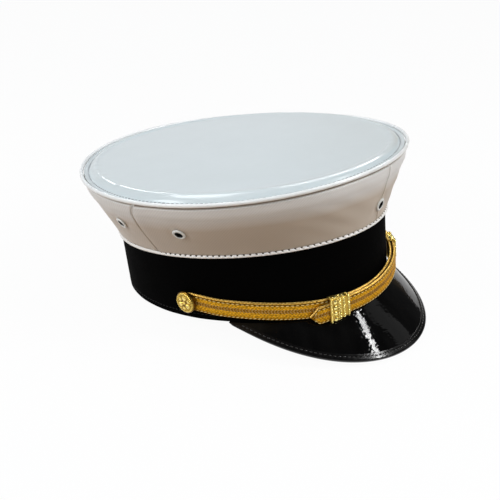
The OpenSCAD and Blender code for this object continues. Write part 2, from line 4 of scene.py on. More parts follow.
import bmesh
import bpy
import numpy as np
from mathutils import Matrix, Quaternion, Vector


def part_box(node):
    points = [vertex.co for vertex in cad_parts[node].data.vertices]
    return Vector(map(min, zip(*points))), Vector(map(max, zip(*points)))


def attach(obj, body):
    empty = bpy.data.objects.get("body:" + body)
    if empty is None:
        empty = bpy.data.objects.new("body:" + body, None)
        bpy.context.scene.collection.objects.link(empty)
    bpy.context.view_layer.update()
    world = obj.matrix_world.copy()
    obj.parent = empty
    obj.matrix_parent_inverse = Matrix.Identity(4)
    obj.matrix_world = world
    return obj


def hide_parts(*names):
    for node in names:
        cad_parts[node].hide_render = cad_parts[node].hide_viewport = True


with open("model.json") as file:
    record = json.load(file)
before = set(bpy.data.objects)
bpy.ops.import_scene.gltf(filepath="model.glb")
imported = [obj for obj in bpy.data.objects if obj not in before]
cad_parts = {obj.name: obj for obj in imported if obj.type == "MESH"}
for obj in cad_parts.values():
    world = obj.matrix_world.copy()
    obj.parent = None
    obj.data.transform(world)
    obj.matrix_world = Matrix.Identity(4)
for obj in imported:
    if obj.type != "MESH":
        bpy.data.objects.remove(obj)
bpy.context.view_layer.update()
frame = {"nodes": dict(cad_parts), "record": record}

# Sizes in millimetres, in the cap's own frame: the band's lower edge is z = 0, the front faces -Y
# and the wearer's right is -X. Angles are degrees from the front (0) to the wearer's right (90).
BAND_LENGTH = 208.5
BAND_WIDTH = 175.3
BAND_EGG = 0.056
BAND_FRONT = 51.0
BAND_BACK = 40.7
COVER_T = 1.5
SWEAT_T = 1.2
SWEAT_H = 34.0
SWEAT_OUT = -5.0
BOTTOM_ROUND = 0.8

CROWN_LENGTH = 240.4
CROWN_WIDTH = 226.8
CROWN_EGG = 0.027
CROWN_SHIFT = 2.6
CROWN_HEIGHT = 93.5
CROWN_WAVE = 1.5
WALL_BOW = 0.03
WALL_BEND = 0.015
QUARTER_T = 1.6
SIDE_SEAM = 89.0
SEAM_LEAN = 6.0
SEAM_GAP = 0.2
SEAM_SLIT = 1.25
HEM_H = 1.7
HEM_OUT = 0.5
WELT_D = 3.0
LINING_T = 0.8
LINING_OUT = -4.7
LINING_ROOF = 94.0
SEAT_GAP = 0.3
LAYER_GAP = 0.1

# Eyelets: angle from the front, and height on the wall as a share of it
SIDE_VENT = (78.5, 0.5)
REAR_VENT = (105.0, 0.53)
BADGE_HOLE = (0.0, 0.33)
VENT_CUT = 6.6
BARREL_R = 2.85

VISOR_REACH = 28.8
VISOR_SLOPE = 47.5
VISOR_ANGLE = 70.0
VISOR_TAPER = 1.1
VISOR_STUB = 0.8
VISOR_SEAT = 0.3
PATENT_T = 0.9
UNDERLAY_HIGH = 2.1
UNDERLAY_T = 0.4
BINDING_W = 4.4
BINDING_T = 0.6

STRAP_W = 12.7
STRAP_T = 1.7
LAP_GAP = 1.0
STRAP_GAP_SIDE = 1.0
STRAP_GAP_FRONT = 2.0
STRAP_SAG = 7.6
SAG_AT = 25.0
SAG_ANGLE = 42.0
OUTER_TIP = 38.8
INNER_TIP = 47.0
LAP_END = 76.0
TIP_DROOP = 4.2
DROOP_START = 20.0
TIP_L = 5.5
SLIDE_L = 13.5
SLIDE_T = 0.5
SLIDE_CLEAR = 0.35
SLIDE_SIDE = 0.4
SLIDE_TRAVEL = 1.5
SLIDE_RIGHT = 26.5
SLIDE_LEFT = -34.0
BUTTON_D = 15.6
BUTTON_RIM = 1.4
BUTTON_ANGLE = 85.0
BUTTON_Z = 13.9
POST_CUT = 3.5
POST_WAY = (1.0, 0.0, 0.0)

# Where the cap's own frame lies in the row frame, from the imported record
mounts = {m["name"]: m for m in frame["record"]["mounts"]}
cap_origin = np.array(mounts["head_opening"]["pos_m"])
cap_up = np.array(mounts["crown_face"]["axis"])
cap_axes = np.array([[1, 0, 0], [0, cap_up[2], -cap_up[1]], cap_up])
MM = 0.001


def placed(points):
    """Points of the cap's frame in millimetres, as points of the row frame in metres."""
    return cap_origin + MM * np.asarray(points, float) @ cap_axes


def unplaced(points):
    """Points of the row frame in metres, as points of the cap's frame in millimetres."""
    return (np.asarray(points, float) - cap_origin) @ cap_axes.T / MM


def turned(directions):
    """Directions of the cap's frame, as directions of the row frame."""
    return np.asarray(directions, float) @ cap_axes


# Shapes that the pieces share

def ease(x):
    """A smooth step from 0 to 1."""
    c = np.clip(x, 0, 1)
    return c * c * (3 - 2 * c)


def bell(x, width):
    return np.exp(-((x / width) ** 2))


def dome(x, width):
    """Half an ellipse of height 1."""
    return np.sqrt(np.clip(1 - (x / width) ** 2, 0, 1))


def wave(count, t, phase=0.0):
    """A sine with a count of waves round the cap."""
    return np.sin(np.radians(count * t + phase))


def circle(steps):
    """Angles spaced evenly all the way round."""
    return np.arange(steps) * 360 / steps


def from_front(t):
    """An angle as -180 to 180 degrees."""
    return (t + 180) % 360 - 180


def unit(v):
    return v / np.linalg.norm(v, axis=-1, keepdims=True)


def oval(length, width, egg, t):
    r = np.radians(t)
    x = -width / 2 * np.sin(r) * (1 - egg * np.cos(r))
    return np.stack([x, -length / 2 * np.cos(r)], -1)


def oval_normal(length, width, egg, t):
    d = oval(length, width, egg, t + 1) - oval(length, width, egg, t - 1)
    return unit(np.stack([-d[..., 1], d[..., 0]], -1))


def with_z(flat, z):
    return np.concatenate([flat, np.broadcast_to(z, flat.shape[:-1])[..., None]], -1)


def band_normal(t):
    return oval_normal(BAND_LENGTH, BAND_WIDTH, BAND_EGG, t)


def band_point(t, out, z):
    t, out, z = np.broadcast_arrays(np.asarray(t, float), out, z)
    return with_z(oval(BAND_LENGTH, BAND_WIDTH, BAND_EGG, t) + out[..., None] * band_normal(t), z)


def hem_z(t):
    return (BAND_FRONT + BAND_BACK) / 2 + (BAND_FRONT - BAND_BACK) / 2 * np.cos(np.radians(t))


def edge_z(t):
    return CROWN_HEIGHT + CROWN_WAVE * np.cos(np.radians(2 * t))


def edge_point(t, out, up):
    t, out, up = np.broadcast_arrays(np.asarray(t, float), out, up)
    flat = oval(CROWN_LENGTH, CROWN_WIDTH, -CROWN_EGG, t) + np.array([0, CROWN_SHIFT])
    normal = oval_normal(CROWN_LENGTH, CROWN_WIDTH, -CROWN_EGG, t)
    return with_z(flat + out[..., None] * normal, edge_z(t) + up)


WELT_SEAT = WELT_D / 2 + SEAT_GAP
WALL_H = CROWN_HEIGHT - hem_z(90)


def wall(t, u):
    """The crown's wall: u runs from 0 at the hem to 1 below the welt."""
    t, u = np.broadcast_arrays(np.asarray(t, float), np.asarray(u, float))
    foot = band_point(t, HEM_OUT, hem_z(t))
    head = edge_point(t, -SEAT_GAP, -WELT_SEAT)
    flare = u + WALL_BOW * np.sin(np.pi * u) - WALL_BEND * np.sin(2 * np.pi * u)
    flat = foot[..., :2] + (head[..., :2] - foot[..., :2]) * flare[..., None]
    return with_z(flat, foot[..., 2] + (head[..., 2] - foot[..., 2]) * u)


def wall_normal(t, u):
    return unit(np.cross(wall(t, u + 0.02) - wall(t, u - 0.02), wall(t + 1, u) - wall(t - 1, u)))


def wall_point(t, u, out):
    return wall(t, u) + np.asarray(out)[..., None] * wall_normal(t, u)


def visor_half(u):
    return VISOR_REACH * np.cos(np.pi / 2 * u) ** VISOR_TAPER


def visor_end(stub):
    return math.acos((stub / VISOR_REACH) ** (1 / VISOR_TAPER)) / (math.pi / 2)


def visor_runout(u):
    """1 along the visor, running out to almost nothing past the ends of its board."""
    return np.clip((1 - np.abs(u)) / (1 - visor_end(VISOR_STUB)), 0.05, 1)


def visor_thin(u):
    return (0.4 + 0.6 * ease((1 - np.abs(u)) / 0.2)) * visor_runout(u)


def visor_point(u, along, up):
    """A point beside the visor's edge: along its slope, and up from its face."""
    u, along, up = np.broadcast_arrays(np.asarray(u, float), along, up)
    slope = math.radians(VISOR_SLOPE)
    lift = up * visor_thin(u)
    out = visor_half(u) + along * math.cos(slope) + lift * math.sin(slope)
    z = -VISOR_SEAT - visor_half(u) * math.tan(slope) - along * math.sin(slope) + lift * math.cos(slope)
    return band_point(u * VISOR_ANGLE, out, z)


def strap_z(t):
    return BUTTON_Z - STRAP_SAG * bell(t - SAG_AT, SAG_ANGLE)


def strap_gap(t):
    return STRAP_GAP_SIDE + (STRAP_GAP_FRONT - STRAP_GAP_SIDE) * np.cos(np.radians(90 * t / BUTTON_ANGLE))


def lap(t):
    """How far the outer strap lies over the inner one."""
    return (STRAP_T + LAP_GAP) * ease((t + LAP_END) / (LAP_END - INNER_TIP))


def droop(t):
    """How far the outer strap's point hangs below the inner strap."""
    return TIP_DROOP * ease((t - DROOP_START) / (OUTER_TIP - DROOP_START))


def narrow(t, tip):
    left = np.radians(tip - t) * BAND_WIDTH / 2
    return np.minimum(1, 0.06 + 0.94 * np.maximum(left, 0) / TIP_L)


# Mesh building

def reface(mesh, fill=False):
    """Turns a mesh's faces outward, after closing its open ends where asked."""
    work = bmesh.new()
    work.from_mesh(mesh)
    if fill:
        bmesh.ops.holes_fill(work, edges=[e for e in work.edges if e.is_boundary], sides=0)
    bmesh.ops.recalc_face_normals(work, faces=work.faces)
    work.to_mesh(mesh)
    work.free()


def linked(name, data):
    thing = bpy.data.objects.new(name, data)
    bpy.context.scene.collection.objects.link(thing)
    return thing


def build(name, points, faces, material, uvs=None, sharp=40):
    mesh = bpy.data.meshes.new(name)
    mesh.from_pydata(placed(points).tolist(), [], faces)
    corner = np.empty(len(mesh.loops), np.int32)
    mesh.loops.foreach_get("vertex_index", corner)
    for layer, values in (uvs or {}).items():
        uv = mesh.uv_layers.new(name=layer)
        uv.data.foreach_set("uv", values.reshape(-1, 2)[corner].ravel().astype(np.float32))
    reface(mesh)
    mesh.materials.append(material)
    mesh.shade_smooth()
    mesh.set_sharp_from_angle(angle=math.radians(sharp))
    return linked(name, mesh)


def loft(name, rows, material, ends="strip", uvs=None, sharp=40):
    """Joins rows of points, each a closed loop, into a skin. A ring joins its last row to its first;
    the ends of any other skin are strips across the loop, fans round its middle, or left open."""
    n, m = rows.shape[:2]
    row = m * np.arange(n if ends == "ring" else n - 1)[:, None]
    column = np.arange(m)[None, :]
    row_after = (row + m) % (n * m)
    column_after = (column + 1) % m
    faces = [row + column, row + column_after, row_after + column_after, row_after + column]
    faces = np.stack(faces, -1).reshape(-1, 4).tolist()
    points = rows.reshape(-1, 3)
    last = (n - 1) * m
    if ends == "strip":
        for q in range(m // 2 - 1):
            o = m - 1 - q
            faces.append([q, q + 1, o - 1, o])
            faces.append([last + q, last + o, last + o - 1, last + q + 1])
    if ends == "fan":
        points = np.concatenate([points, [rows[0].mean(0), rows[-1].mean(0)]])
        for q in range(m):
            faces.append([n * m, q, (q + 1) % m])
            faces.append([n * m + 1, last + (q + 1) % m, last + q])
    return build(name, points, faces, material, uvs, sharp)


def there_and_back(front, back):
    """Rows of points along a sheet's face and back along its other face."""
    return np.concatenate([front, back[:, ::-1]], 1)


def travelled(line):
    """The way along a line of points, from its start to each of them."""
    return np.concatenate([[0], np.cumsum(np.linalg.norm(np.diff(line, axis=0), axis=1))])


def values_at(at, run, values):
    """Values known along a way, read off at other places on it."""
    return np.stack([np.interp(at, run, column) for column in values.T], -1)


def evenly(line, pitch):
    """Points spaced evenly along a line, the line's direction there, and their way along it."""
    run = travelled(line)
    count = max(2, int(round(run[-1] / pitch)))
    at = (np.arange(count) + 0.5) * run[-1] / count
    ahead = values_at(at + 0.2, run, line) - values_at(at - 0.2, run, line)
    return values_at(at, run, line), unit(ahead), at


def finish_piece(piece, body, slot, *nodes):
    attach(piece, body)
    if nodes:
        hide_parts(*nodes)


GRAIN_STEPS = 8
GRAIN_RINGS = 5


def grains(name, centres, along, out, sizes, material, slot, body="cap"):
    """Many small ellipsoids in one piece: thread stitches or beads, each with its own axes."""
    a = np.radians(circle(GRAIN_STEPS))
    b = np.linspace(-np.pi / 2, np.pi / 2, GRAIN_RINGS + 2)[1:-1, None]
    belts = np.stack([np.sin(b) + 0 * a, np.cos(b) * np.cos(a), np.cos(b) * np.sin(a)], -1)
    shell = np.concatenate([[[-1, 0, 0]], belts.reshape(-1, 3), [[1, 0, 0]]])
    top = 1 + (GRAIN_RINGS - 1) * GRAIN_STEPS
    faces = []
    for q in range(GRAIN_STEPS):
        r = (q + 1) % GRAIN_STEPS
        faces.append([0, 1 + r, 1 + q])
        faces.append([top + q, top + r, len(shell) - 1])
        for low in range(1, top, GRAIN_STEPS):
            faces.append([low + q, low + r, low + GRAIN_STEPS + r, low + GRAIN_STEPS + q])
    along = unit(np.asarray(along, float))
    out = unit(out - (out * along).sum(-1, keepdims=True) * along)
    side = np.cross(out, along)
    sizes = np.broadcast_to(np.asarray(sizes, float), (len(centres), 3)) / 2
    axes = np.stack([along * sizes[:, :1], side * sizes[:, 1:2], out * sizes[:, 2:]], 1)
    points = (np.einsum("kq,nqc->nkc", shell, axes) + np.asarray(centres)[:, None]).reshape(-1, 3)
    many = [[v + n * len(shell) for v in f] for n in range(len(centres)) for f in faces]
    finish_piece(build(name, points, many, material, sharp=80), body, slot)


CUTTER_SIDES = 40
CUTTER_L = 14.0


def pierce(piece, centre, normal, width):
    """Cuts the round hole for an eyelet's barrel or a button's post."""
    radius = width / 2 * MM
    work = bmesh.new()
    sizes = {"segments": CUTTER_SIDES, "radius1": radius, "radius2": radius, "depth": CUTTER_L * MM}
    bmesh.ops.create_cone(work, cap_ends=True, **sizes)
    mesh = bpy.data.meshes.new("cutter")
    work.to_mesh(mesh)
    work.free()
    cutter = linked("cutter", mesh)
    way = Vector(turned(normal)).to_track_quat("Z", "Y")
    cutter.matrix_world = Matrix.Translation(Vector(placed(centre))) @ way.to_matrix().to_4x4()
    hole = piece.modifiers.new("hole", "BOOLEAN")
    hole.operation = "DIFFERENCE"
    hole.solver = "EXACT"
    hole.object = cutter
    bpy.context.view_layer.update()
    whole = piece.evaluated_get(bpy.context.evaluated_depsgraph_get())
    cut = bpy.data.meshes.new_from_object(whole)
    piece.modifiers.clear()
    piece.data = cut
    bpy.data.objects.remove(cutter)


# Materials

class Nodes:
    """Short ways to add nodes to a node tree."""

    def __init__(self, tree):
        self.tree = tree

    def feed(self, socket, value):
        if isinstance(value, bpy.types.NodeSocket):
            self.tree.links.new(value, socket)
        else:
            socket.default_value = value

    def node(self, kind, *values, settings=(), **inputs):
        """A node whose sockets are fed in order or by name."""
        made = self.tree.nodes.new("ShaderNode" + kind)
        for key, value in dict(settings).items():
            setattr(made, key, value)
        for socket, value in zip(made.inputs, values):
            self.feed(socket, value)
        for name, value in inputs.items():
            self.feed(made.inputs[name.replace("_", " ")], value)
        return made

    def math(self, operation, *values):
        return self.node("Math", *values, settings={"operation": operation}).outputs[0]

    def vector(self, operation, *values):
        return self.node("VectorMath", *values, settings={"operation": operation})

    def mix(self, factor, first, second, data="RGBA", blend="MIX"):
        start, out = {"FLOAT": (2, 0), "RGBA": (6, 2)}[data]
        made = self.node("Mix", factor, settings={"data_type": data, "blend_type": blend})
        self.feed(made.inputs[start], first)
        self.feed(made.inputs[start + 1], second)
        return made.outputs[out]

    def ramp(self, fac, *stops):
        made = self.node("ValToRGB", fac)
        elements = made.color_ramp.elements
        while len(elements) < len(stops):
            elements.new(1.0)
        for element, (position, colour) in zip(elements, stops):
            element.position = position
            element.color = (*colour, 1.0)
        return made.outputs["Color"]

    def split(self, vector):
        return tuple(self.node("SeparateXYZ", vector).outputs)

    def blend(self, factor, first, second):
        return self.node("MixShader", factor, first, second).outputs[0]

    def seen_by(self, *rays):
        """1 for the rays of the given kinds, such as those that come straight from the camera."""
        path = self.node("LightPath").outputs
        total = path[rays[0]]
        for other in rays[1:]:
            total = self.math("MAXIMUM", total, path[other])
        return total


class Shader(Nodes):
    """A principled material, and the textures that it is made with."""

    def __init__(self, name, **sockets):
        self.material = bpy.data.materials.new(name)
        self.material.use_nodes = True
        super().__init__(self.material.node_tree)
        self.bsdf = self.tree.nodes["Principled BSDF"]
        for socket, value in sockets.items():
            self.bsdf.inputs[socket.replace("_", " ")].default_value = value

    def place(self):
        return self.node("TexCoord").outputs["Object"]

    def uv(self, layer):
        return self.node("UVMap", settings={"uv_map": layer}).outputs["UV"]

    def scaled(self, vector, scale):
        return self.node("Mapping", Vector=vector, Scale=scale).outputs["Vector"]

    def noise(self, vector, scale, detail=3.0, roughness=0.55):
        made = self.node("TexNoise", Vector=vector, Scale=scale, Detail=detail, Roughness=roughness)
        return made.outputs["Fac"]

    def stripes(self, vector, scale, direction, **inputs):
        made = self.node(
            "TexWave", settings={"bands_direction": direction}, Vector=vector, Scale=scale, **inputs
        )
        return made.outputs["Fac"]

    def grey(self, fac, low, high):
        return self.node("MapRange", Value=fac, To_Min=low, To_Max=high).outputs["Result"]

    def done(self, colour, roughness, height=None, relief=None):
        """The finished material; its relief is a strength and a distance."""
        self.feed(self.bsdf.inputs["Base Color"], colour)
        self.feed(self.bsdf.inputs["Roughness"], roughness)
        if relief:
            bump = self.node("Bump", Strength=relief[0], Distance=relief[1], Height=height)
            self.feed(self.bsdf.inputs["Normal"], bump.outputs["Normal"])
        return self.material


def mottled(name, grain, low, high, rough, relief=None, stretch=1.0, top=0.7, **sockets):
    """A material whose colour, roughness and relief follow one noise."""
    s = Shader(name, **sockets)
    spot = s.noise(s.scaled(s.place(), (1.0, 1.0, stretch)), *grain)
    return s.done(s.ramp(spot, (0.3, low), (top, high)), s.grey(spot, *rough), spot, relief)


def vinyl(name, low, high, roughness):
    """White vinyl on cloth, with a fine grain."""
    s = Shader(name, Specular_IOR_Level=0.4)
    place = s.place()
    colour = s.ramp(s.noise(place, 9.0, 9.0, 0.72), (0.35, low), (0.65, high))
    gloss = s.grey(s.noise(place, 60.0), roughness - 0.05, roughness + 0.07)
    return s.done(colour, gloss, s.noise(place, 240.0, 2.0), (0.05, 0.0002))


def wall_vinyl():
    """The wall's vinyl: the twill of its backing shows through. Its colour runs with height: tan and darker
    low down (painted shade and painted warm bounce light on white vinyl), light and neutral toward the top
    (painted sheen), and a thin dark line just under the welt (painted shadow).
    """
    s = Shader("white_vinyl_wall_cloth_painted_shade", Specular_IOR_Level=0.35)
    flat = s.uv("flat")
    cloud = s.noise(s.place(), 14.0)
    high = s.math("MULTIPLY", s.split(flat)[1], 10.0 / WALL_H)
    fading = s.math("MULTIPLY_ADD", high, -0.5, 0.5)
    tone = s.math("MULTIPLY_ADD", s.math("SUBTRACT", cloud, 0.5), fading, high)
    # Painted light by height: the tan stops are painted shade and warm bounce light, the neutral light stops
    # are painted sheen, and the last dark stop is painted shadow under the welt.
    base = s.ramp(
        tone, (0.35, (0.58, 0.51, 0.43)), (0.55, (0.585, 0.515, 0.435)), (0.75, (0.8, 0.81, 0.81)),
        (0.965, (0.8, 0.81, 0.81)), (0.98, (0.26, 0.215, 0.17))
    )
    line = s.stripes(flat, 3.4, "DIAGONAL", Distortion=0.8, Detail=1.0, Detail_Scale=1.5)
    twill = s.ramp(line, (0.0, (0.82, 0.82, 0.82)), (1.0, (1.08, 1.08, 1.08)))
    colour = s.mix(0.24, base, twill, blend="MULTIPLY")
    height = s.math("MULTIPLY", s.math("ADD", line, s.noise(s.place(), 800.0, 2.0)), 0.5)
    return s.done(colour, s.grey(cloud, 0.36, 0.5), height, (0.12, 0.0002))


def patent():
    """Black patent: a hard gloss over a surface with fine cross ripples."""
    s = Shader("black_patent_leather", IOR=1.3)
    ripple = s.noise(s.scaled(s.uv("flat"), (3.2, 5.4, 1.0)), 1.0, 1.5, 0.5)
    swell = s.noise(s.scaled(s.uv("flat"), (1.4, 0.5, 1.0)), 0.9, 2.0, 0.5)
    height = s.math("ADD", s.math("MULTIPLY", ripple, 0.34), s.math("MULTIPLY", swell, 0.45))
    colour = s.ramp(swell, (0.3, (0.0012, 0.0012, 0.0013)), (0.7, (0.0034, 0.0034, 0.0034)))
    return s.done(colour, s.grey(ripple, 0.015, 0.035), height, (0.24, 0.0012))


# Gold lace, in centimetres: pitch of its ribs across it and of its dashes and zigzag along it,
# and half the width of its middle stripe
LACE_ROW = 0.12
LACE_DASH = 0.24
LACE_ZIG = 0.16
LACE_MIDDLE = 0.12


def lace():
    """Light folded edges, the upper one painted lighter than the lower (painted highlight where it faces up
    into the light), ochre stripes of fine ribs and a dark zigzag stripe. The weave's colour is painted
    darker in its hollows and lighter on its raised threads (painted shade and painted highlights).
    """
    s = Shader("gold_lace_weave", Metallic=0.7, Specular_IOR_Level=0.2, Specular_Tint=(0.85, 0.6, 0.22, 1.0))
    run, across, _ = s.split(s.uv("lace"))
    edge = s.split(s.uv("edge"))[0]
    off = s.math("ABSOLUTE", across)
    upper_half = s.math("GREATER_THAN", across, 0.0)
    row = s.math("MULTIPLY", across, 1 / LACE_ROW)
    stagger = s.math("MULTIPLY", s.math("FLOOR", row), 0.5)
    dash_turn = s.math("MULTIPLY_ADD", run, 1 / LACE_DASH, stagger)
    dash = s.math("SINE", s.math("MULTIPLY", dash_turn, 2 * math.pi))
    rib = s.math("SINE", s.math("MULTIPLY", s.math("FRACT", row), math.pi))
    zig_turn = s.math("MULTIPLY_ADD", off, 60.0, s.math("MULTIPLY", run, 2 * math.pi / LACE_ZIG))
    zig = s.math("SINE", zig_turn)
    ribbed = s.math("MULTIPLY_ADD", dash, 0.15, s.math("MULTIPLY_ADD", rib, 0.4, 0.18))
    zigzag = s.math("MULTIPLY_ADD", zig, 0.4, 0.5)
    woven = s.mix(s.math("LESS_THAN", off, LACE_MIDDLE), ribbed, zigzag, data="FLOAT")
    glitter = s.math("SUBTRACT", s.noise(s.place(), 900.0, 2.0), 0.5)
    relief = s.math("MULTIPLY_ADD", glitter, 1.3, woven)
    stripe = s.ramp(
        s.math("MULTIPLY", off, 1.6),
        (0.0, (0.3, 0.14, 0.01)), (0.18, (0.33, 0.155, 0.011)), (0.21, (0.66, 0.33, 0.016)),
        (0.48, (0.7, 0.36, 0.02)), (0.6, (0.56, 0.28, 0.014))
    )
    near = s.math("MULTIPLY", edge, 3.2)
    # The upper fold's light stops are a painted highlight on the edge that faces up; the lower fold is left
    # darker.
    upper = s.ramp(
        near, (0.0, (0.95, 0.65, 0.18)), (0.2, (0.88, 0.54, 0.12)), (0.33, (0.5, 0.27, 0.03)),
        (0.46, (0.12, 0.05, 0.006)), (0.8, (0.2, 0.09, 0.009))
    )
    lower = s.ramp(
        near, (0.0, (0.55, 0.3, 0.03)), (0.2, (0.28, 0.12, 0.011)), (0.5, (0.2, 0.09, 0.009))
    )
    wide = s.math("MULTIPLY_ADD", upper_half, 0.1, 0.14)
    body = s.mix(s.math("GREATER_THAN", edge, wide), s.mix(upper_half, lower, upper), stripe)
    # Painted shade and painted highlights: the colour is darkened in the weave's hollows and lightened up to
    # 1.5 times on its raised threads and glitter.
    shade = s.ramp(relief, (0.1, (0.26, 0.22, 0.16)), (0.85, (1.5, 1.5, 1.5)))
    colour = s.mix(0.85, body, shade, blend="MULTIPLY")
    return s.done(colour, s.grey(s.noise(s.place(), 700.0), 0.36, 0.55), relief, (0.5, 0.00025))


def gold(name, low, high, roughness):
    rough = (roughness - 0.08, roughness + 0.1)
    return mottled(name, (900.0, 4.0, 0.65), low, high, rough, (0.18, 0.0002), Metallic=0.92)


def relief_gold():
    """Stamped gold: bright on the raised parts, tarnished in the hollows."""
    s = Shader("gold_stamped_relief", Metallic=0.9)
    high = s.split(s.uv("relief"))[0]
    spot = s.noise(s.place(), 900.0, 4.0, 0.65)
    worn = s.math("MULTIPLY_ADD", s.math("SUBTRACT", spot, 0.5), 0.4, high)
    stops = ((0.05, (0.17, 0.09, 0.01)), (0.4, (0.62, 0.41, 0.06)), (0.75, (0.95, 0.76, 0.27)))
    return s.done(s.ramp(worn, *stops), s.grey(spot, 0.14, 0.28), spot, (0.2, 0.0002))


def thread(name, low, high, metallic=0.0, rough=0.5):
    """Twisted thread: fine slanted ply lines."""
    s = Shader(name, Metallic=metallic, Specular_IOR_Level=0.3)
    ply = s.stripes(s.place(), 900.0, "DIAGONAL", Distortion=2.0, Detail=1.0)
    gloss = s.grey(ply, rough, rough + 0.25)
    return s.done(s.ramp(ply, (0.2, low), (0.8, high)), gloss, ply, (0.3, 0.0002))


def cloth(name, low, high, scale):
    """Plain weave from two crossed sets of fine waves."""
    s = Shader(name, Specular_IOR_Level=0.15, Sheen_Weight=0.1)
    place = s.place()
    warp, weft = [s.stripes(place, scale, direction, Distortion=0.8) for direction in "XY"]
    knit = s.math("MULTIPLY", warp, weft)
    shade = s.math("MULTIPLY_ADD", knit, 0.6, s.math("MULTIPLY", s.noise(place, 40.0), 0.5))
    return s.done(s.ramp(shade, (0.15, low), (0.75, high)), 0.85, knit, (0.35, 0.0003))


def hide(name, low, high):
    """Smooth leather with pores and soft creases."""
    s = Shader(name, Specular_IOR_Level=0.4)
    place = s.place()
    pore = s.node("TexVoronoi", Vector=place, Scale=650.0).outputs["Distance"]
    crease = s.noise(place, 55.0, 4.0)
    colour = s.ramp(crease, (0.3, low), (0.7, high))
    height = s.math("MULTIPLY_ADD", crease, 0.6, pore)
    return s.done(colour, s.grey(crease, 0.38, 0.58), height, (0.25, 0.0003))


def enamel(name, centre, axis):
    """White enamel on an eyelet's flange, over a barrel painted nearly black: painted shade inside the hole.
    """
    s = Shader(name, Specular_IOR_Level=0.5, Coat_Weight=0.3, Coat_Roughness=0.1)
    place = s.place()
    away = s.vector("SUBTRACT", place, placed(centre)).outputs[0]
    across = s.vector("CROSS_PRODUCT", away, turned(axis)).outputs[0]
    radius = s.vector("LENGTH", across).outputs["Value"]
    chip = s.noise(place, 380.0, 4.0)
    flange = s.ramp(chip, (0.3, (0.7, 0.72, 0.7)), (0.6, (0.84, 0.86, 0.84)))
    # The barrel's near-black colour is painted shade inside the eyelet's hole.
    barrel = s.ramp(chip, (0.3, (0.006, 0.006, 0.006)), (0.7, (0.02, 0.019, 0.018)))
    colour = s.mix(s.math("GREATER_THAN", radius, BARREL_R * MM), barrel, flange)
    return s.done(colour, s.grey(chip, 0.2, 0.32))


TOP_VINYL = vinyl("white_vinyl_top_cloth", (0.652, 0.72, 0.738), (0.682, 0.75, 0.768), 0.14)
WALL_VINYL_PAINTED_SHADE_AND_SHEEN = wall_vinyl()
WELT_VINYL = vinyl("white_vinyl_piping", (0.86, 0.88, 0.88), (0.92, 0.93, 0.93), 0.26)
HEM_VINYL = vinyl("white_vinyl_hem", (0.9, 0.89, 0.87), (0.95, 0.94, 0.92), 0.3)
FELT = mottled(
    "black_felt_cloth", (1100.0, 5.0, 0.7), (0.0003, 0.0003, 0.0003), (0.0015, 0.0015, 0.0016),
    (0.82, 1.0), (0.5, 0.0005), 2.2, 0.75, Specular_IOR_Level=0.02
)
PATENT = patent()
BINDING = mottled(
    "black_binding_leather", (420.0, 3.0), (0.0018, 0.0018, 0.0019), (0.005, 0.005, 0.005),
    (0.1, 0.22), (0.18, 0.0004), IOR=1.36
)
LACE = lace()
GOLD_SLIDE = gold("gold_bullion", (0.94, 0.71, 0.15), (1.0, 0.91, 0.41), 0.24)
# Darker gold for the slide's loop under its beads: painted shade between the beads.
GOLD_SHADED_GROUND = gold("gold_bullion_shaded_ground", (0.42, 0.26, 0.035), (0.64, 0.43, 0.08), 0.34)
GOLD_RELIEF = relief_gold()
GOLD_BUTTON = gold("gold_button_plate", (0.5, 0.32, 0.06), (0.82, 0.6, 0.2), 0.26)
# Dark brown stitches in the hem's notches: real stitches, coloured dark as painted shade of the shadowed
# needle holes.
HEM_SHADE_THREAD = thread("dark_hem_thread_painted_shade", (0.05, 0.036, 0.024), (0.11, 0.085, 0.06))
GREY_THREAD = thread("grey_crease_thread", (0.2, 0.21, 0.23), (0.42, 0.44, 0.46))
# Black thread lightened toward grey so the visor's stitches read as catching the light: painted glints.
BLACK_THREAD_PAINTED_GLINT = thread("black_gloss_thread_painted_glint", (0.012, 0.012, 0.012), (0.06, 0.06, 0.059), 0.0, 0.12)
BAND_THREAD = thread("black_band_thread", (0.001, 0.001, 0.001), (0.005, 0.005, 0.005))
GOLD_THREAD = thread("gold_edge_thread", (0.72, 0.5, 0.12), (0.96, 0.78, 0.34), 0.2)
CHAIN_THREAD = thread("tan_chain_thread", (0.36, 0.2, 0.04), (0.6, 0.37, 0.11), 0.2)
TAN_THREAD = thread("tan_band_thread", (0.12, 0.08, 0.05), (0.22, 0.16, 0.1))
LINING = cloth("pale_lining_cloth", (0.42, 0.42, 0.41), (0.66, 0.66, 0.64), 620.0)
UNDERLAY = cloth("dark_underlay_cloth", (0.018, 0.022, 0.016), (0.05, 0.058, 0.044), 700.0)
LEATHER = hide("dark_sweat_leather", (0.035, 0.024, 0.018), (0.075, 0.052, 0.038))
STEEL = mottled(
    "bright_steel", (300.0, 3.0), (0.42, 0.43, 0.44), (0.6, 0.61, 0.62), (0.22, 0.38),
    stretch=30.0, Metallic=1.0
)
BOARD = mottled(
    "stiff_fibre_board", (500.0, 5.0), (0.02, 0.02, 0.022), (0.045, 0.045, 0.047), (0.7, 0.9),
    (0.3, 0.0003), 4.0, Specular_IOR_Level=0.2
)
CLEAR = mottled(
    "clear_shield_sheet", (80.0, 3.0), (0.85, 0.88, 0.9), (0.95, 0.97, 0.98), (0.05, 0.14),
    IOR=1.45, Transmission_Weight=0.9, Alpha=0.5
)

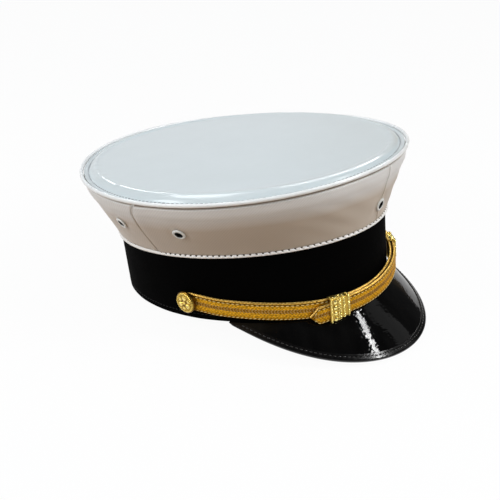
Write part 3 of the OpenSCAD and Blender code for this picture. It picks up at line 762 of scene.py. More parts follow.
# Crown top and welt; the top's profile is its height over the way in from the welt's crease
RING_STEPS = 480
TOP_INSETS = [0, 1.0, 2.2, 3.3, 3.9, 4.6, 5.5, 7.0, 8.5, 9.6, 11.0, 13.0, 16.0]
TOP_HEIGHTS = [0.0, -0.4, -0.6, -0.55, 0.2, 1.1, 1.9, 2.8, 3.2, 3.18, 2.9, 2.68, 2.6]
TOP_RIDGE = 8.5
TOP_FLAT = 14.0
TOP_T = 1.1
TOP_DISH = 0.12
RUMPLE = 0.06
RUMPLE_MORE = 0.36
RUMPLE_AT = 108.0
RUMPLE_ANGLE = 34.0
CREASE_IN = 3.1
CREASE_UP = -0.5
TOP_STITCH = 3.2
TOP_STITCH_SIZE = (2.3, 0.9, 0.5)
WELT_STEPS = 14
WELT_SLACK = 0.2


def crown_top():
    """Flat vinyl top with a soft ridge and a sloping shoulder down to the welt's crease."""
    t = circle(RING_STEPS)
    s = np.radians(t) * (CROWN_LENGTH + CROWN_WIDTH) / 4
    insets = np.concatenate([np.linspace(0, 5.1, 18), np.linspace(5.4, 11.4, 11), [12.4, 13.4, 14.6, 16.0]])
    rumple = 0.5 * wave(19, t, 40) + 0.35 * wave(31, t, 200) + 0.3 * wave(47, t, 10) + 0.2 * wave(71, t, 90)
    rumple *= RUMPLE + RUMPLE_MORE * bell(from_front(t - RUMPLE_AT), RUMPLE_ANGLE)

    def ring(inset, height):
        scallop = 0.14 * np.cos(2 * np.pi * s / TOP_STITCH) * bell(inset - 3.6, 0.8)
        level = (CROWN_HEIGHT - edge_z(t)) * ease(inset / TOP_FLAT)
        up = level + height + scallop + rumple * bell(inset - TOP_RIDGE, 3.0)
        return edge_point(t, -WELT_SEAT - inset, up)

    over = [ring(inset, np.interp(inset, TOP_INSETS, TOP_HEIGHTS)) for inset in insets]
    rim = over[-1]
    middle = rim.mean(0)
    for share in (0.9, 0.78, 0.64, 0.5, 0.36, 0.22, 0.1, 0.03):
        over.append(middle + (rim - middle) * share - [0, 0, TOP_DISH * (1 - share)])
    under = [p - [0, 0, TOP_T] for p in over[2:]]
    rows = np.array(under[::-1] + [over[1] - [0, 0, 0.7]] + over)
    piece = loft("crown_top_panel", rows, TOP_VINYL, ends="fan", sharp=60)
    finish_piece(piece, "cap", "white_vinyl_top", "crown_top")
    crease = ring(CREASE_IN, CREASE_UP)
    spots, way, _ = evenly(np.concatenate([crease, crease[:1]]), TOP_STITCH)
    up = np.broadcast_to([0.0, 0.0, 1.0], spots.shape)
    grains("crown_crease_stitches", spots, way, up, TOP_STITCH_SIZE, GREY_THREAD, "white_vinyl_top")


def crown_welt():
    t = circle(RING_STEPS)[:, None]
    turns = np.radians(circle(WELT_STEPS))
    radius = (WELT_D / 2 - WELT_SLACK) * (1 + 0.02 * wave(53, t) + 0.015 * wave(87, t, 30))
    rows = edge_point(t, radius * np.cos(turns), radius * np.sin(turns))
    piece = loft("crown_welt_piping", rows, WELT_VINYL, ends="ring", sharp=80)
    finish_piece(piece, "cap", "white_welt", "crown_welt")


# Crown wall
WALL_R = 100.0
TUCK = 0.8
TUCK_DOWN = 7.5
HEM_DIP = 0.6
HEM_DIP_H = 3.1
SWAY = 0.2
SWAY_AT = 20.0
SWAY_ANGLE = 17.0
FOLD_L = 26.0
FOLD_H = 17.0
QUARTER_STEPS = 240
SEAM_STEPS = [0, 0.12, 0.25, 0.4, 0.6, 0.85, 1.1, 1.4, 1.8, 2.3, 2.9, 3.5]


def arc(angle):
    """The way along the wall for an angle round the cap."""
    return np.radians(angle) * WALL_R


def seam_angle(t, lean, u):
    return t + lean * (1 - u ** 3)


def vent_moat(points, t, vents):
    """The cloth is drawn in round each eyelet, with a few short puckers."""
    out = np.zeros(points.shape[:-1])
    for at, up in vents:
        away = points - wall(at, up)
        r = np.linalg.norm(away, axis=-1)
        spin = np.arctan2(away[..., 2], arc(t - at))
        out += -0.3 * bell(r - 6.4, 1.7) + 0.14 * np.cos(5 * spin) * bell(r - 9.0, 3.4)
    return out


def seam_lip(d, kind):
    """How far the cloth stands out at a distance from its seam."""
    if kind == "over":
        return 0.7 * ease(d / 0.4) * ease((13.0 - d) / 12.0) - 0.2 * ease((0.4 - d) / 0.4)
    if kind == "under":
        return -1.2 * ease((1.3 - d) / 1.2)
    return 0.3 * bell(d - 1.5, 0.9) - 0.6 * ease((0.9 - d) / 0.7)


def spread(first, last):
    """Angles from one seam to the next, closer together beside the seams."""
    near = np.degrees(np.array(SEAM_STEPS) / WALL_R)
    share = np.linspace(0, 1, QUARTER_STEPS)[:, None]
    middle = first + near[-1] + (last - first - 2 * near[-1]) * share
    return np.concatenate([first + near[:-1, None], middle, last - near[:-1][::-1, None]])


def quarter(name, start, end, leans, kinds, vents):
    """A quarter of the wall between two seams, pierced for its eyelets."""
    v = np.concatenate([np.linspace(0, WALL_H - 4, 30), np.linspace(WALL_H - 3.4, WALL_H, 10)])
    u = (v / WALL_H)[None, :]
    gaps = [math.degrees((SEAM_SLIT if kind == "under" else SEAM_GAP / 2) / WALL_R) for kind in kinds]
    first = seam_angle(start, leans[0], u) + gaps[0]
    last = seam_angle(end, leans[1], u) - gaps[1]
    t = spread(first, last)
    u = np.broadcast_to(u, t.shape)
    high = u * WALL_H
    lift = np.sin(np.pi * u)
    out = seam_lip(arc(t - first), kinds[0]) + seam_lip(arc(last - t), kinds[1])
    out += vent_moat(wall(t, u), t, vents)
    out -= HEM_DIP * ease(HEM_DIP_H - high)
    out += TUCK * bell(high - WALL_H + TUCK_DOWN, 5.0) - 1.6 * TUCK * ease((high - WALL_H + 1.9) / 1.2)
    out += lift * (0.16 * wave(7, t, 60 * u) + 0.1 * wave(17, t, 50 - 90 * u))
    sway = SWAY * bell(np.abs(t) - SWAY_AT, SWAY_ANGLE)
    out += sway * lift * np.sin(2 * np.pi * (arc(t) / FOLD_L - high / FOLD_H))
    keep = [0, 10, 20, 30, 36, len(v) - 1]
    inner = wall_point(t[:, keep], u[:, keep], -QUARTER_T)
    flat = np.stack([arc(t), high], -1) / 10
    uvs = {"flat": there_and_back(flat, flat[:, keep])}
    rows = there_and_back(wall_point(t, u, out), inner)
    piece = loft("quarter_panel_" + name, rows, WALL_VINYL_PAINTED_SHADE_AND_SHEEN, "open", uvs, 70)
    reface(piece.data, fill=True)
    for at, up in vents:
        pierce(piece, wall(at, up), wall_normal(at, up), VENT_CUT)
    finish_piece(piece, "cap", "white_vinyl", "quarter_" + name)


def crown_wall():
    front = [SIDE_VENT, BADGE_HOLE]
    front_left = [(-at, up) for at, up in front]
    rear_left = [(360 - REAR_VENT[0], REAR_VENT[1])]
    quarter("front_right", 0, SIDE_SEAM, (0, SEAM_LEAN), ("even", "over"), front)
    quarter("front_left", -SIDE_SEAM, 0, (-SEAM_LEAN, 0), ("over", "even"), front_left)
    quarter("rear_right", SIDE_SEAM, 180, (SEAM_LEAN, 0), ("under", "even"), [REAR_VENT])
    quarter("rear_left", 180, 360 - SIDE_SEAM, (0, -SEAM_LEAN), ("even", "under"), rear_left)


# Hem
HEM_STEPS = 1600
HEM_TURNS = 20
HEM_PITCH = 4.1
HEM_ROLL = 1.15
HEM_STITCH_LEAN = 0.6
HEM_STITCH_UP = 1.5
HEM_STITCH_SIZE = (1.7, 0.75, 0.9)


def hem_roll():
    """The wall's folded lower edge: its upper border is notched where the front stitches draw it in."""
    t = circle(HEM_STEPS)
    turns = np.radians(circle(HEM_TURNS))
    foot = band_point(t, HEM_OUT, hem_z(t))
    run = np.cumsum(np.linalg.norm(np.roll(foot, -1, 0) - foot, axis=1))
    puffs = round(run[-1] / HEM_PITCH)
    phase = (run / run[-1] * puffs)[:, None]
    seam = SIDE_SEAM + SEAM_LEAN
    front = ease((seam + 1 - np.abs(from_front(t))) / 2)[:, None]
    border = ease((np.sin(turns) - 0.1) / 0.5)
    notch = bell((phase - 0.12 * np.sin(turns)) % 1 - 0.5, 0.13) * border * front
    high = HEM_H / 2 + (HEM_H / 2 + 0.2) * np.sin(turns) * (1 - 0.75 * notch)
    out = 0.15 + HEM_ROLL * np.cos(turns) * (1 - 0.8 * notch) - 0.5 * notch
    out = np.where(np.cos(turns) < 0, -0.25 + 0.3 * np.cos(turns), out)
    piece = loft("hem_roll", wall_point(t[:, None], high / WALL_H, out), HEM_VINYL, "ring", sharp=80)
    finish_piece(piece, "cap", "white_welt")
    at = np.interp((np.arange(puffs) + 0.62) / puffs, run / run[-1], t)
    at = at[np.abs(from_front(at)) < seam - 1]
    up = HEM_STITCH_UP / WALL_H
    along = wall(at + 0.5, up) - wall(at - 0.5, up)
    outward = wall_normal(at, up)
    lean = unit(along) + HEM_STITCH_LEAN * unit(np.cross(along, outward))
    spots = wall_point(at, up, 0.05)
    # Dark stitches set in the notches: painted shade there.
    grains("hem_stitches_painted_shade", spots, lean, outward, HEM_STITCH_SIZE, HEM_SHADE_THREAD, "white_welt")


# Lining: its roof's rows are insets from the edge, drops from the roof and shares of the pleats
LINING_STEPS = 360
LINING_PLEAT = 1.1
FRAME_UP = 6.6
ROOF_ROWS = ((13.0, 2.4, 0.9), (16.0, 1.7, 0.7), (20.0, 0.8, 0.3), (24.0, 0.2, 0.0))


def crown_lining():
    """Sewn lining: gathered above the band, and flat above the clear shield."""
    t = circle(LINING_STEPS)
    pleat = LINING_PLEAT * (0.5 - 0.5 * np.cos(np.radians(36 * t + 25 * wave(5, t))))
    frame_up = FRAME_UP / (CROWN_HEIGHT - hem_z(0))

    def layer(back):
        base = LINING_OUT - back
        rows = [band_point(t, HEM_OUT + base, hem_z(t) + up) for up in (0.1, 3.2, 6.3)]
        for k in range(1, 9):
            u = frame_up + (0.8 - frame_up) * k / 8
            rows.append(wall_point(t, u, base - pleat * math.sin(math.pi * min(1, k / 6) / 2)))
        for inset, drop, share in ROOF_ROWS:
            z = LINING_ROOF - drop - back - 0.9 * share * pleat
            rows.append(with_z(edge_point(t, -inset - back, 0)[:, :2], z))
        rim = rows[-1]
        middle = rim.mean(0)
        middle[2] = LINING_ROOF - back
        return rows + [middle + (rim - middle) * share for share in (0.8, 0.5, 0.2, 0.04)]

    rows = np.array(layer(LINING_T)[::-1] + layer(0))
    piece = loft("crown_lining_cloth", rows, LINING, ends="fan", sharp=60)
    finish_piece(piece, "cap", "lining_cloth", "crown_lining")


# Band
BAND_STEPS = 600
BAND_FOOT = [0, 0.24, 0.8, 1.6, 2.6, 3.3, 3.7, 4.0, 4.3, 4.8, 6.0]
BAND_STITCH = 3.1
BAND_STITCH_Z = 4.0
BAND_STITCH_SIZE = (2.2, 0.45, 0.36)
SWEAT_STEPS = 360
SWEAT_INNER_Z = np.array([[0.3, 1.0, 2.5, 5.0, 9.0, 15.0, 22.0, 28.0, 32.0, 33.4]])
SWEAT_OUTER_Z = np.array([[33.6, 24.0, 12.0, 2.0, 0.3]])
SWEAT_STITCH = 3.4
SWEAT_STITCH_SIZE = (2.3, 0.5, 0.4)
STITCH_LINE = np.linspace(0, 360, 1441)


def band_felt():
    t = circle(BAND_STEPS)[:, None]
    top = hem_z(t) - SEAT_GAP
    foot = np.array(BAND_FOOT)
    rest = foot[-1] + (top - foot[-1]) * np.linspace(0, 1, 9)[None, 1:]
    z = np.concatenate([np.broadcast_to(foot, (BAND_STEPS, len(foot))), rest], 1)
    out = 0.06 * np.sin(np.radians(9 * t) + z / 11) + 0.05 * np.sin(np.radians(23 * t) - z / 7)
    out -= 0.16 * bell(z - BAND_STITCH_Z, 0.3) + 0.45 * bell(t - 180, 0.25)
    out[:, 0] -= BOTTOM_ROUND
    out[:, 1] -= BOTTOM_ROUND * 0.3
    inner = band_point(t, -COVER_T, np.concatenate([top, 0.5 * top, 0 * top], 1))
    rows = np.concatenate([band_point(t, out, z), inner], 1)
    piece = loft("band_felt", rows, FELT, ends="ring", sharp=70)
    for angle in (BUTTON_ANGLE, -BUTTON_ANGLE):
        pierce(piece, band_point(angle, 0.0, BUTTON_Z), POST_WAY, POST_CUT)
    finish_piece(piece, "cap", "black_felt", "band_cover")
    spots, way, _ = evenly(band_point(STITCH_LINE, 0.0, BAND_STITCH_Z), BAND_STITCH)
    out = unit(spots * [1, 1, 0])
    grains("band_edge_stitches", spots, way, out, BAND_STITCH_SIZE, BAND_THREAD, "black_felt")


def sweatband():
    t = circle(SWEAT_STEPS)[:, None]
    up = SWEAT_INNER_Z / SWEAT_H
    bow = 0.175 * np.sin(np.pi * up) + 0.04 * wave(13, t) * up
    inner = band_point(t, SWEAT_OUT - SWEAT_T - bow, SWEAT_INNER_Z)
    edge = band_point(t, SWEAT_OUT - SWEAT_T / 2, SWEAT_H)
    outer = band_point(t, SWEAT_OUT, SWEAT_OUTER_Z)
    rows = np.concatenate([inner, edge, outer], 1)
    piece = loft("sweatband_leather", rows, LEATHER, ends="ring", sharp=60)
    finish_piece(piece, "cap", "sweat_leather", "sweatband")
    for row, z in (("low", 3.2), ("high", 6.0)):
        spots, way, _ = evenly(band_point(STITCH_LINE, SWEAT_OUT - SWEAT_T - 0.1, z), SWEAT_STITCH)
        out = -unit(spots * [1, 1, 0])
        name = "sweatband_stitches_" + row
        grains(name, spots, way, out, SWEAT_STITCH_SIZE, TAN_THREAD, "sweat_leather")


# Visor
VISOR_STEPS = 260
VISOR_ROWS = 26
VISOR_POINT = 0.1
VISOR_SWELL = 0.5
VISOR_ARC = 110.0
VISOR_ROOT = -2.8
UNDERLAY_ROOT = -3.9
BINDING_STITCH = 3.2
BINDING_STITCH_IN = -2.3
BINDING_STITCH_SIZE = (2.2, 0.75, 0.8)


def visor_sheet(name, node, slot, material, high, low, root):
    """One layer of the visor, from under the band to its edge."""
    end = visor_end(VISOR_POINT)
    u = np.linspace(-end, end, VISOR_STEPS + 1)[:, None]
    share = np.linspace(0, 1, VISOR_ROWS)[None, :]
    tan_half = math.tan(math.radians(VISOR_SLOPE / 2))
    swell = VISOR_SWELL * np.sin(np.pi * share) ** 2 * ease(visor_half(u) / 12)
    swell = swell[..., None] * unit(visor_point(u, 0.0, 1.0) - visor_point(u, 0.0, 0.0))

    def face(depth):
        drop = depth * visor_thin(u)
        start = band_point(u * VISOR_ANGLE, root, -VISOR_SEAT - drop)
        knee = band_point(u * VISOR_ANGLE, -drop * tan_half, -VISOR_SEAT - drop)
        rim = visor_point(u, 0.0, -depth)
        return np.concatenate([start, knee + (rim - knee) * share[..., None] + swell], 1)

    run = np.broadcast_to(u * VISOR_ARC, (VISOR_STEPS + 1, VISOR_ROWS + 1))
    deep = np.concatenate([0 * u - 3, visor_half(u) * share * 1.5], 1)
    flat = np.stack([run, deep], -1) / 10
    rows = there_and_back(face(high), face(low))
    piece = loft(name, rows, material, uvs={"flat": there_and_back(flat, flat)}, sharp=50)
    finish_piece(piece, "cap", slot, node)
    return piece


def binding_section(high, inner_low):
    """The folded strip's outline: distance past the visor's edge, and height over its face."""
    low = inner_low - BINDING_T
    middle = (inner_low + LAYER_GAP) / 2
    deep = (LAYER_GAP - inner_low) / 2
    front = BINDING_T + 0.35
    turn = np.linspace(math.pi / 2, -math.pi / 2, 11)
    nose = [(front * math.cos(a), middle + (deep + BINDING_T) * math.sin(a)) for a in turn]
    hollow = [(LAYER_GAP + 0.1 * math.cos(a), middle + deep * math.sin(a)) for a in turn[::-1]]
    over = [(-BINDING_W, 0.25), (-BINDING_W + 0.25, high - 0.05), (-3.2, high + 0.06), (-2.75, high - 0.04)]
    over += [(-2.3, high - 0.1), (-1.85, high - 0.04), (-1.3, high + 0.06), (-0.6, high + 0.03)]
    under = [(-1.5, low), (-3.0, low), (-BINDING_W, low + 0.2)]
    back = [(-BINDING_W, inner_low), (-2.0, inner_low)]
    fore = [(-2.0, LAYER_GAP), (-BINDING_W, LAYER_GAP)]
    return np.array(over + nose + under + back + hollow + fore).T


def visor_binding():
    """Patent strip folded over the visor's edge, with a row of stitches."""
    high = LAYER_GAP + BINDING_T
    past, rise = binding_section(high, -UNDERLAY_HIGH - UNDERLAY_T - LAYER_GAP)
    end = visor_end(VISOR_POINT)
    u = end * np.sin(np.linspace(-np.pi / 2, np.pi / 2, VISOR_STEPS + 1))[:, None]
    room = (visor_half(u) - VISOR_STUB) / math.cos(math.radians(VISOR_SLOPE)) - SEAT_GAP
    taper = np.clip(room / BINDING_W, 0.02, 1)
    rows = visor_point(u, past * np.where(past < 0, taper, visor_runout(u)), rise)
    piece = loft("visor_edge_binding", rows, BINDING, ends="open", sharp=45)
    reface(piece.data, fill=True)
    finish_piece(piece, "cap", "black_patent", "visor_binding")
    fine = np.linspace(-end * 0.93, end * 0.93, 1200)
    line = visor_point(fine, BINDING_STITCH_IN, high - 0.05)
    spots, way, at = evenly(line, BINDING_STITCH)
    out = values_at(at, travelled(line), visor_point(fine, BINDING_STITCH_IN, high + 1.0) - line)
    grains("visor_binding_stitches", spots, way, out, BINDING_STITCH_SIZE, BLACK_THREAD_PAINTED_GLINT, "black_patent")


def visor():
    visor_sheet("visor_patent", "visor_top", "black_patent", PATENT, 0.0, PATENT_T, VISOR_ROOT)
    under = visor_sheet(
        "visor_underlay_cloth", "visor_underlay", "underlay_cloth", UNDERLAY,
        UNDERLAY_HIGH, UNDERLAY_HIGH + UNDERLAY_T, UNDERLAY_ROOT
    )
    visor_binding()


# Strap
STRAP_STEP = 0.27
EDGE_TURN = 0.42
STITCH_IN = 2.2
STITCH_STOP = 3.0
EDGE_STITCH_SIZE = (2.1, 0.65, 0.5)
CHAIN_STITCH_SIZE = (2.3, 0.8, 0.6)
END_ANGLE = BUTTON_ANGLE + 3.0
END_STRAIGHT = 2.4
END_ROUND = 2.2
END_DROP = 2.4
DRAWN_IN = 0.35
DRAWN_FROM = 78.0
LEVEL_FROM = 72.0


def ribbon(name, t, out, z, half):
    """A lace ribbon with round folded edges, sunk stitch lines and a ribbed face."""
    fold = np.cos(np.linspace(0, EDGE_TURN, 9))[:-1]
    across = np.concatenate([-fold, np.linspace(-math.cos(EDGE_TURN), math.cos(EDGE_TURN), 33), fold[::-1]])
    s = travelled(band_point(t, out, z))[:, None]
    t, out, z, half = t[:, None], out[:, None], z[:, None], half[:, None]
    w = across * half
    edge = half - np.abs(w)
    r = STRAP_T / 2
    curl = r - np.sqrt(np.clip(r * r - np.clip(r - edge, 0, r) ** 2, 0, None))
    groove = 0.2 * bell(edge - STITCH_IN, 0.3) * (half > STITCH_IN)
    rib = 0.035 * np.cos(2 * np.pi * w / 0.9)
    zig = 0.09 * np.sin(2 * np.pi * (s / 1.5 + np.abs(w) * 0.55)) * ease((1.35 - np.abs(w)) / 0.3)
    face = out + STRAP_T - curl - groove + (rib + zig) * ease((edge - 0.8) / 0.8)
    rows = there_and_back(band_point(t, face, z + w), band_point(t, out + curl, z + w))
    woven = np.stack([np.broadcast_to(s, w.shape), w], -1) / 10
    border = np.stack([edge, 0 * edge], -1) / 10
    uvs = {"lace": there_and_back(woven, woven), "edge": there_and_back(border, border)}
    return loft(name, rows, LACE, uvs=uvs, sharp=75)


def ribbon_row(t, out, z, pitch, lean):
    """Spots along a ribbon's face, each with a leaning direction and the way out."""
    spots, way, _ = evenly(band_point(t, out + STRAP_T - 0.06, z), pitch)
    angle = np.degrees(np.arctan2(-spots[:, 0] / BAND_WIDTH, -spots[:, 1] / BAND_LENGTH))
    outward = with_z(band_normal(angle), 0.0)
    return spots, way + lean * np.cross(outward, way), outward


def ribbon_stitches(side, t, out, z, half):
    """Gold stitches along the ribbon's edges, and a chain of slanted stitches down its middle."""
    sewn = (half > STITCH_IN + 0.6) & (np.abs(t) < BUTTON_ANGLE - STITCH_STOP)
    t, out, z, half = t[sewn], out[sewn], z[sewn], half[sewn]
    edges = [
        ribbon_row(t, out, z + half - STITCH_IN, 3.3, 0.0),
        ribbon_row(t, out, z + 0.9 - half, 2.9, 0.3),
    ]
    chain = [ribbon_row(t, out, z + w, 2.1, lean) for w, lean in ((0.85, 0.9), (-0.85, -0.9))]
    looks = (
        ("strap_edge_stitches_", edges, EDGE_STITCH_SIZE, GOLD_THREAD),
        ("strap_chain_stitches_", chain, CHAIN_STITCH_SIZE, CHAIN_THREAD),
    )
    for name, lines, size, look in looks:
        spots, ways, outs = [np.concatenate(part) for part in zip(*lines)]
        grains(name + side, spots, ways, outs, size, look, "gold_lace", "strap")


def strap_end(t):
    """Half width past the button: a squarish end with round corners."""
    past = np.maximum(np.abs(t) - BUTTON_ANGLE, 0) * np.pi / 180 * BAND_WIDTH / 2
    return STRAP_W / 2 - END_DROP * np.clip((past - END_STRAIGHT) / END_ROUND, 0, 1) ** 2.5


def strap_line(t):
    """Distance from the band and height of the strap's middle, drawn in behind the button."""
    drawn = ease((np.abs(t) - DRAWN_FROM) / (BUTTON_ANGLE - DRAWN_FROM))
    level = ease((np.abs(t) - LEVEL_FROM) / (BUTTON_ANGLE - LEVEL_FROM))
    gap = strap_gap(np.clip(t, -BUTTON_ANGLE, BUTTON_ANGLE)) - DRAWN_IN * drawn
    return gap, strap_z(t) + (BUTTON_Z - strap_z(t)) * level


def strap_half(side, button_angle, t, gap, z, point):
    """One lace from its button to its point, with its stitches."""
    half = np.minimum(STRAP_W / 2 * point, strap_end(t))
    piece = ribbon("strap_lace_" + side, t, gap, z, half)
    pierce(piece, band_point(button_angle, 0.0, BUTTON_Z), POST_WAY, POST_CUT)
    finish_piece(piece, "strap", "gold_lace", "strap_" + side)
    ribbon_stitches(side, t, gap, z, half)


def strap():
    t = np.arange(-INNER_TIP, END_ANGLE, STRAP_STEP)
    gap, z = strap_line(t)
    strap_half("right", BUTTON_ANGLE, t, gap, z, narrow(-t, INNER_TIP))
    t = np.arange(OUTER_TIP, -END_ANGLE, -STRAP_STEP)[::-1]
    gap, z = strap_line(t)
    strap_half("left", -BUTTON_ANGLE, t, gap + lap(t), z - droop(t), narrow(t, OUTER_TIP))


# Slides: each column of beads has its place along the slide, count, lean, bead size and rise
SLIDE_R = BAND_WIDTH / 2 + STRAP_GAP_FRONT
SLIDE_ROWS = 30
SLIDE_STEPS = 150
SLIDE_RIM = 6.1
SLIDE_SOFT = 4
BEAD_COLUMNS = (
    (3.5, 5, 0.0, (3.4, 3.2, 1.6), 0.35), (1.2, 11, 0.7, (2.1, 1.0, 1.1), 0.2),
    (-0.1, 11, -0.7, (2.1, 1.0, 1.1), 0.2), (-2.5, 10, 0.0, (1.8, 1.9, 1.1), 0.1),
    (5.9, 14, 0.5, (2.0, 1.0, 1.0), 0.1), (-5.7, 14, -0.5, (2.0, 1.1, 1.0), 0.1),
)


def slide(name, angle, hang):
    """A loop of gold bullion round both straps: large beads, a braid and roped rims on its face."""
    x = np.linspace(-SLIDE_L / 2, SLIDE_L / 2, SLIDE_ROWS)[:, None]
    t = angle + np.degrees(x / SLIDE_R)
    low = strap_z(t) - STRAP_W / 2 - SLIDE_SIDE
    hung = low - (droop(t + SLIDE_TRAVEL) if hang else 0)
    high = strap_z(t) + STRAP_W / 2 + SLIDE_SIDE
    inner = strap_gap(t) - SLIDE_CLEAR
    outer = inner + 2 * (STRAP_T + SLIDE_CLEAR) + LAP_GAP
    middle = (inner + outer) / 2
    out = np.concatenate([inner, middle, outer, outer, middle, inner], 1)
    corners = np.stack([out, np.concatenate([low, hung, hung, high, high, high], 1)], -1)
    sides = np.linalg.norm(np.roll(corners, -1, 1) - corners, axis=-1).mean(0)
    stops = np.concatenate([[0], np.cumsum(sides)])
    at = np.arange(SLIDE_STEPS) * stops[-1] / SLIDE_STEPS
    k = np.clip(np.searchsorted(stops, at, side="right") - 1, 0, 5)
    f = ((at - stops[k]) / sides[k])[None, :, None]
    path = corners[:, k] * (1 - f) + corners[:, (k + 1) % 6] * f
    path = sum(np.roll(path, q, 1) for q in range(-SLIDE_SOFT, SLIDE_SOFT + 1)) / (2 * SLIDE_SOFT + 1)
    way = np.roll(path, -1, 1) - np.roll(path, 1, 1)
    normal = unit(np.stack([way[..., 1], -way[..., 0]], -1))
    rims = 0.5 * (bell(x - SLIDE_RIM, 0.7) + bell(x + SLIDE_RIM, 0.7))
    skin = path + normal * (SLIDE_T + rims * ease((normal[..., 0] + 0.2) / 0.5))[..., None]
    outside = band_point(t, skin[..., 0], skin[..., 1])
    inside = band_point(t, path[..., 0], path[..., 1])
    rows = np.concatenate([outside, inside[::-1]]).transpose(1, 0, 2)
    # The loop under the beads is in darker gold: painted shade between the beads.
    piece = loft("slide_bullion_" + name, rows, GOLD_SHADED_GROUND, ends="ring", sharp=60)
    finish_piece(piece, "slide_" + name + "_loop", "gold_slide", "slide_" + name)
    shown = (at >= stops[2] - 0.5) & (at <= stops[4] + 1.0)

    def column(along, count, lean, size, rise):
        """Beads one after the other up the face and over its top, each leaning by an angle."""
        row = (along / SLIDE_L + 0.5) * (SLIDE_ROWS - 1)
        k = int(row)
        near = (skin[k] + (row - k) * (skin[k + 1] - skin[k]))[shown]
        tilt = normal[k][shown]
        angles = np.full(len(near), angle + math.degrees(along / SLIDE_R))
        near = near + rise * tilt
        line = band_point(angles, near[:, 0], near[:, 1])
        run = travelled(line)
        spots, ways, at_run = evenly(line, run[-1] / count)
        outs = values_at(at_run, run, with_z(band_normal(angles) * tilt[:, :1], tilt[:, 1]))
        ways = math.cos(lean) * ways + math.sin(lean) * np.cross(ways, unit(outs))
        return spots, ways, outs, np.broadcast_to(size, spots.shape)

    beads = [np.concatenate(part) for part in zip(*[column(*values) for values in BEAD_COLUMNS])]
    grains("slide_beads_" + name, *beads, GOLD_SLIDE, "gold_slide", "slide_" + name + "_loop")


# Buttons
BUTTON_STEPS = 144
BUTTON_RINGS = 44
BUTTON_WALL = 0.6
BUTTON_RELIEF = 0.8
ROPE_R = 6.5
ROPE_TURNS = 30
BEADS_R = 5.3
BEADS = 24
PETALS = 3


def button(name, side):
    """A domed button with a rope rim, a ring of beads and a plain rosette."""
    lowest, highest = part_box("button_" + name)
    middle = (lowest + highest) / 2
    base = lowest.x if side > 0 else highest.x
    a = np.radians(circle(BUTTON_STEPS))
    r = BUTTON_D / 2 * np.sin(np.linspace(0.02, math.pi / 2, BUTTON_RINGS))[:, None]
    shell = BUTTON_RIM - 0.1 + 1.2 * dome(r, BUTTON_D / 2)
    rays = np.cos(PETALS * a)
    rope = dome(r - ROPE_R, 0.72) * (0.5 + 0.25 * np.cos(ROPE_TURNS * a + 4 * (r - ROPE_R)))
    petals = np.clip(rays, 0, 1) ** 0.6 * np.sin(np.pi * np.clip(r - 1.2, 0, 4.3) / 4.3)
    veins = 1 - 0.45 * bell(np.sin(PETALS * a) * r, 0.4) * bell(r - 3.4, 1.3)
    leaves = 0.75 * np.clip(-rays, 0, 1) ** 1.1 * np.sin(np.pi * np.clip(r - 2.4, 0, 3.1) / 3.1)
    boss = dome(r, 1.3) * (0.8 + 0.2 * np.cos(2 * PETALS * a))
    beads = 0.6 * bell(r - BEADS_R, 0.5) * (0.5 + 0.5 * np.cos(BEADS * a))
    relief = np.maximum.reduce([rope, petals * veins, leaves, boss, beads])
    rim = np.array([[BUTTON_D / 2], [BUTTON_D / 2 - BUTTON_WALL]])
    back = slice(None, None, -6)
    radius = np.concatenate([r, rim, 0.9 * r[back]])
    height = np.concatenate([shell, 0 * rim, shell[back] - BUTTON_WALL]) + 0 * a
    height[:BUTTON_RINGS] += BUTTON_RELIEF * relief
    reach = np.stack([side * height, radius * np.sin(a), radius * np.cos(a)], -1)
    rows = unplaced(np.array([base, middle.y, middle.z]) + MM * reach)
    worn = np.zeros((*height.shape, 2))
    worn[:BUTTON_RINGS, :, 0] = relief
    worn = np.concatenate([worn.reshape(-1, 2), [[1.0, 0.0], [0.0, 0.0]]])
    piece = loft("button_dome_" + name, rows, GOLD_RELIEF, "fan", {"relief": worn}, 50)
    finish_piece(piece, "button_" + name + "_turner", "gold_metal", "button_" + name)


crown_top()
crown_welt()
crown_wall()
hem_roll()
crown_lining()
band_felt()
sweatband()
visor()
strap()
slide("right", SLIDE_RIGHT, True)
slide("left", SLIDE_LEFT, False)
button("right", -1)
button("left", 1)

# CAD nodes that show as they are, or lie between the sewn layers
node_looks = {
    "crown_spring_ring": STEEL, "spring_ring_sleeve": STEEL, "front_stay": BOARD, "lining_shield": CLEAR,
    "band_frame": BOARD, "sweatband_reed": LEATHER, "visor_board": BOARD,
    "badge_eyelet": enamel("white_badge_eyelet", wall(*BADGE_HOLE), wall_normal(*BADGE_HOLE)),
    "badge_washer": STEEL,
}
for row, (at, up) in (("side", SIDE_VENT), ("rear", REAR_VENT)):
    for side, angle in (("right", at), ("left", -at)):
        place = row + "_" + side
        look = enamel("white_vent_eyelet_" + place, wall(angle, up), wall_normal(angle, up))
        node_looks["vent_eyelet_" + place] = look
        node_looks["vent_washer_" + place] = STEEL
for side in ("right", "left"):
    node_looks["button_back_" + side] = GOLD_BUTTON
    node_looks["button_nut_" + side] = STEEL
for node, look in node_looks.items():
    mesh = frame["nodes"][node].data
    mesh.materials.clear()
    mesh.materials.append(look)

# Camera at the photograph's place, in the cap's frame
CAMERA_AT = np.array([-393.58, -316.17, 228.31])
CAMERA_AIM = np.array([-2.147, 2.636, 14.035])
CAMERA_ROLL = -6.615
FOCAL_PX = 709.42
PICTURE_PX = 500.0
SENSOR = 36.0


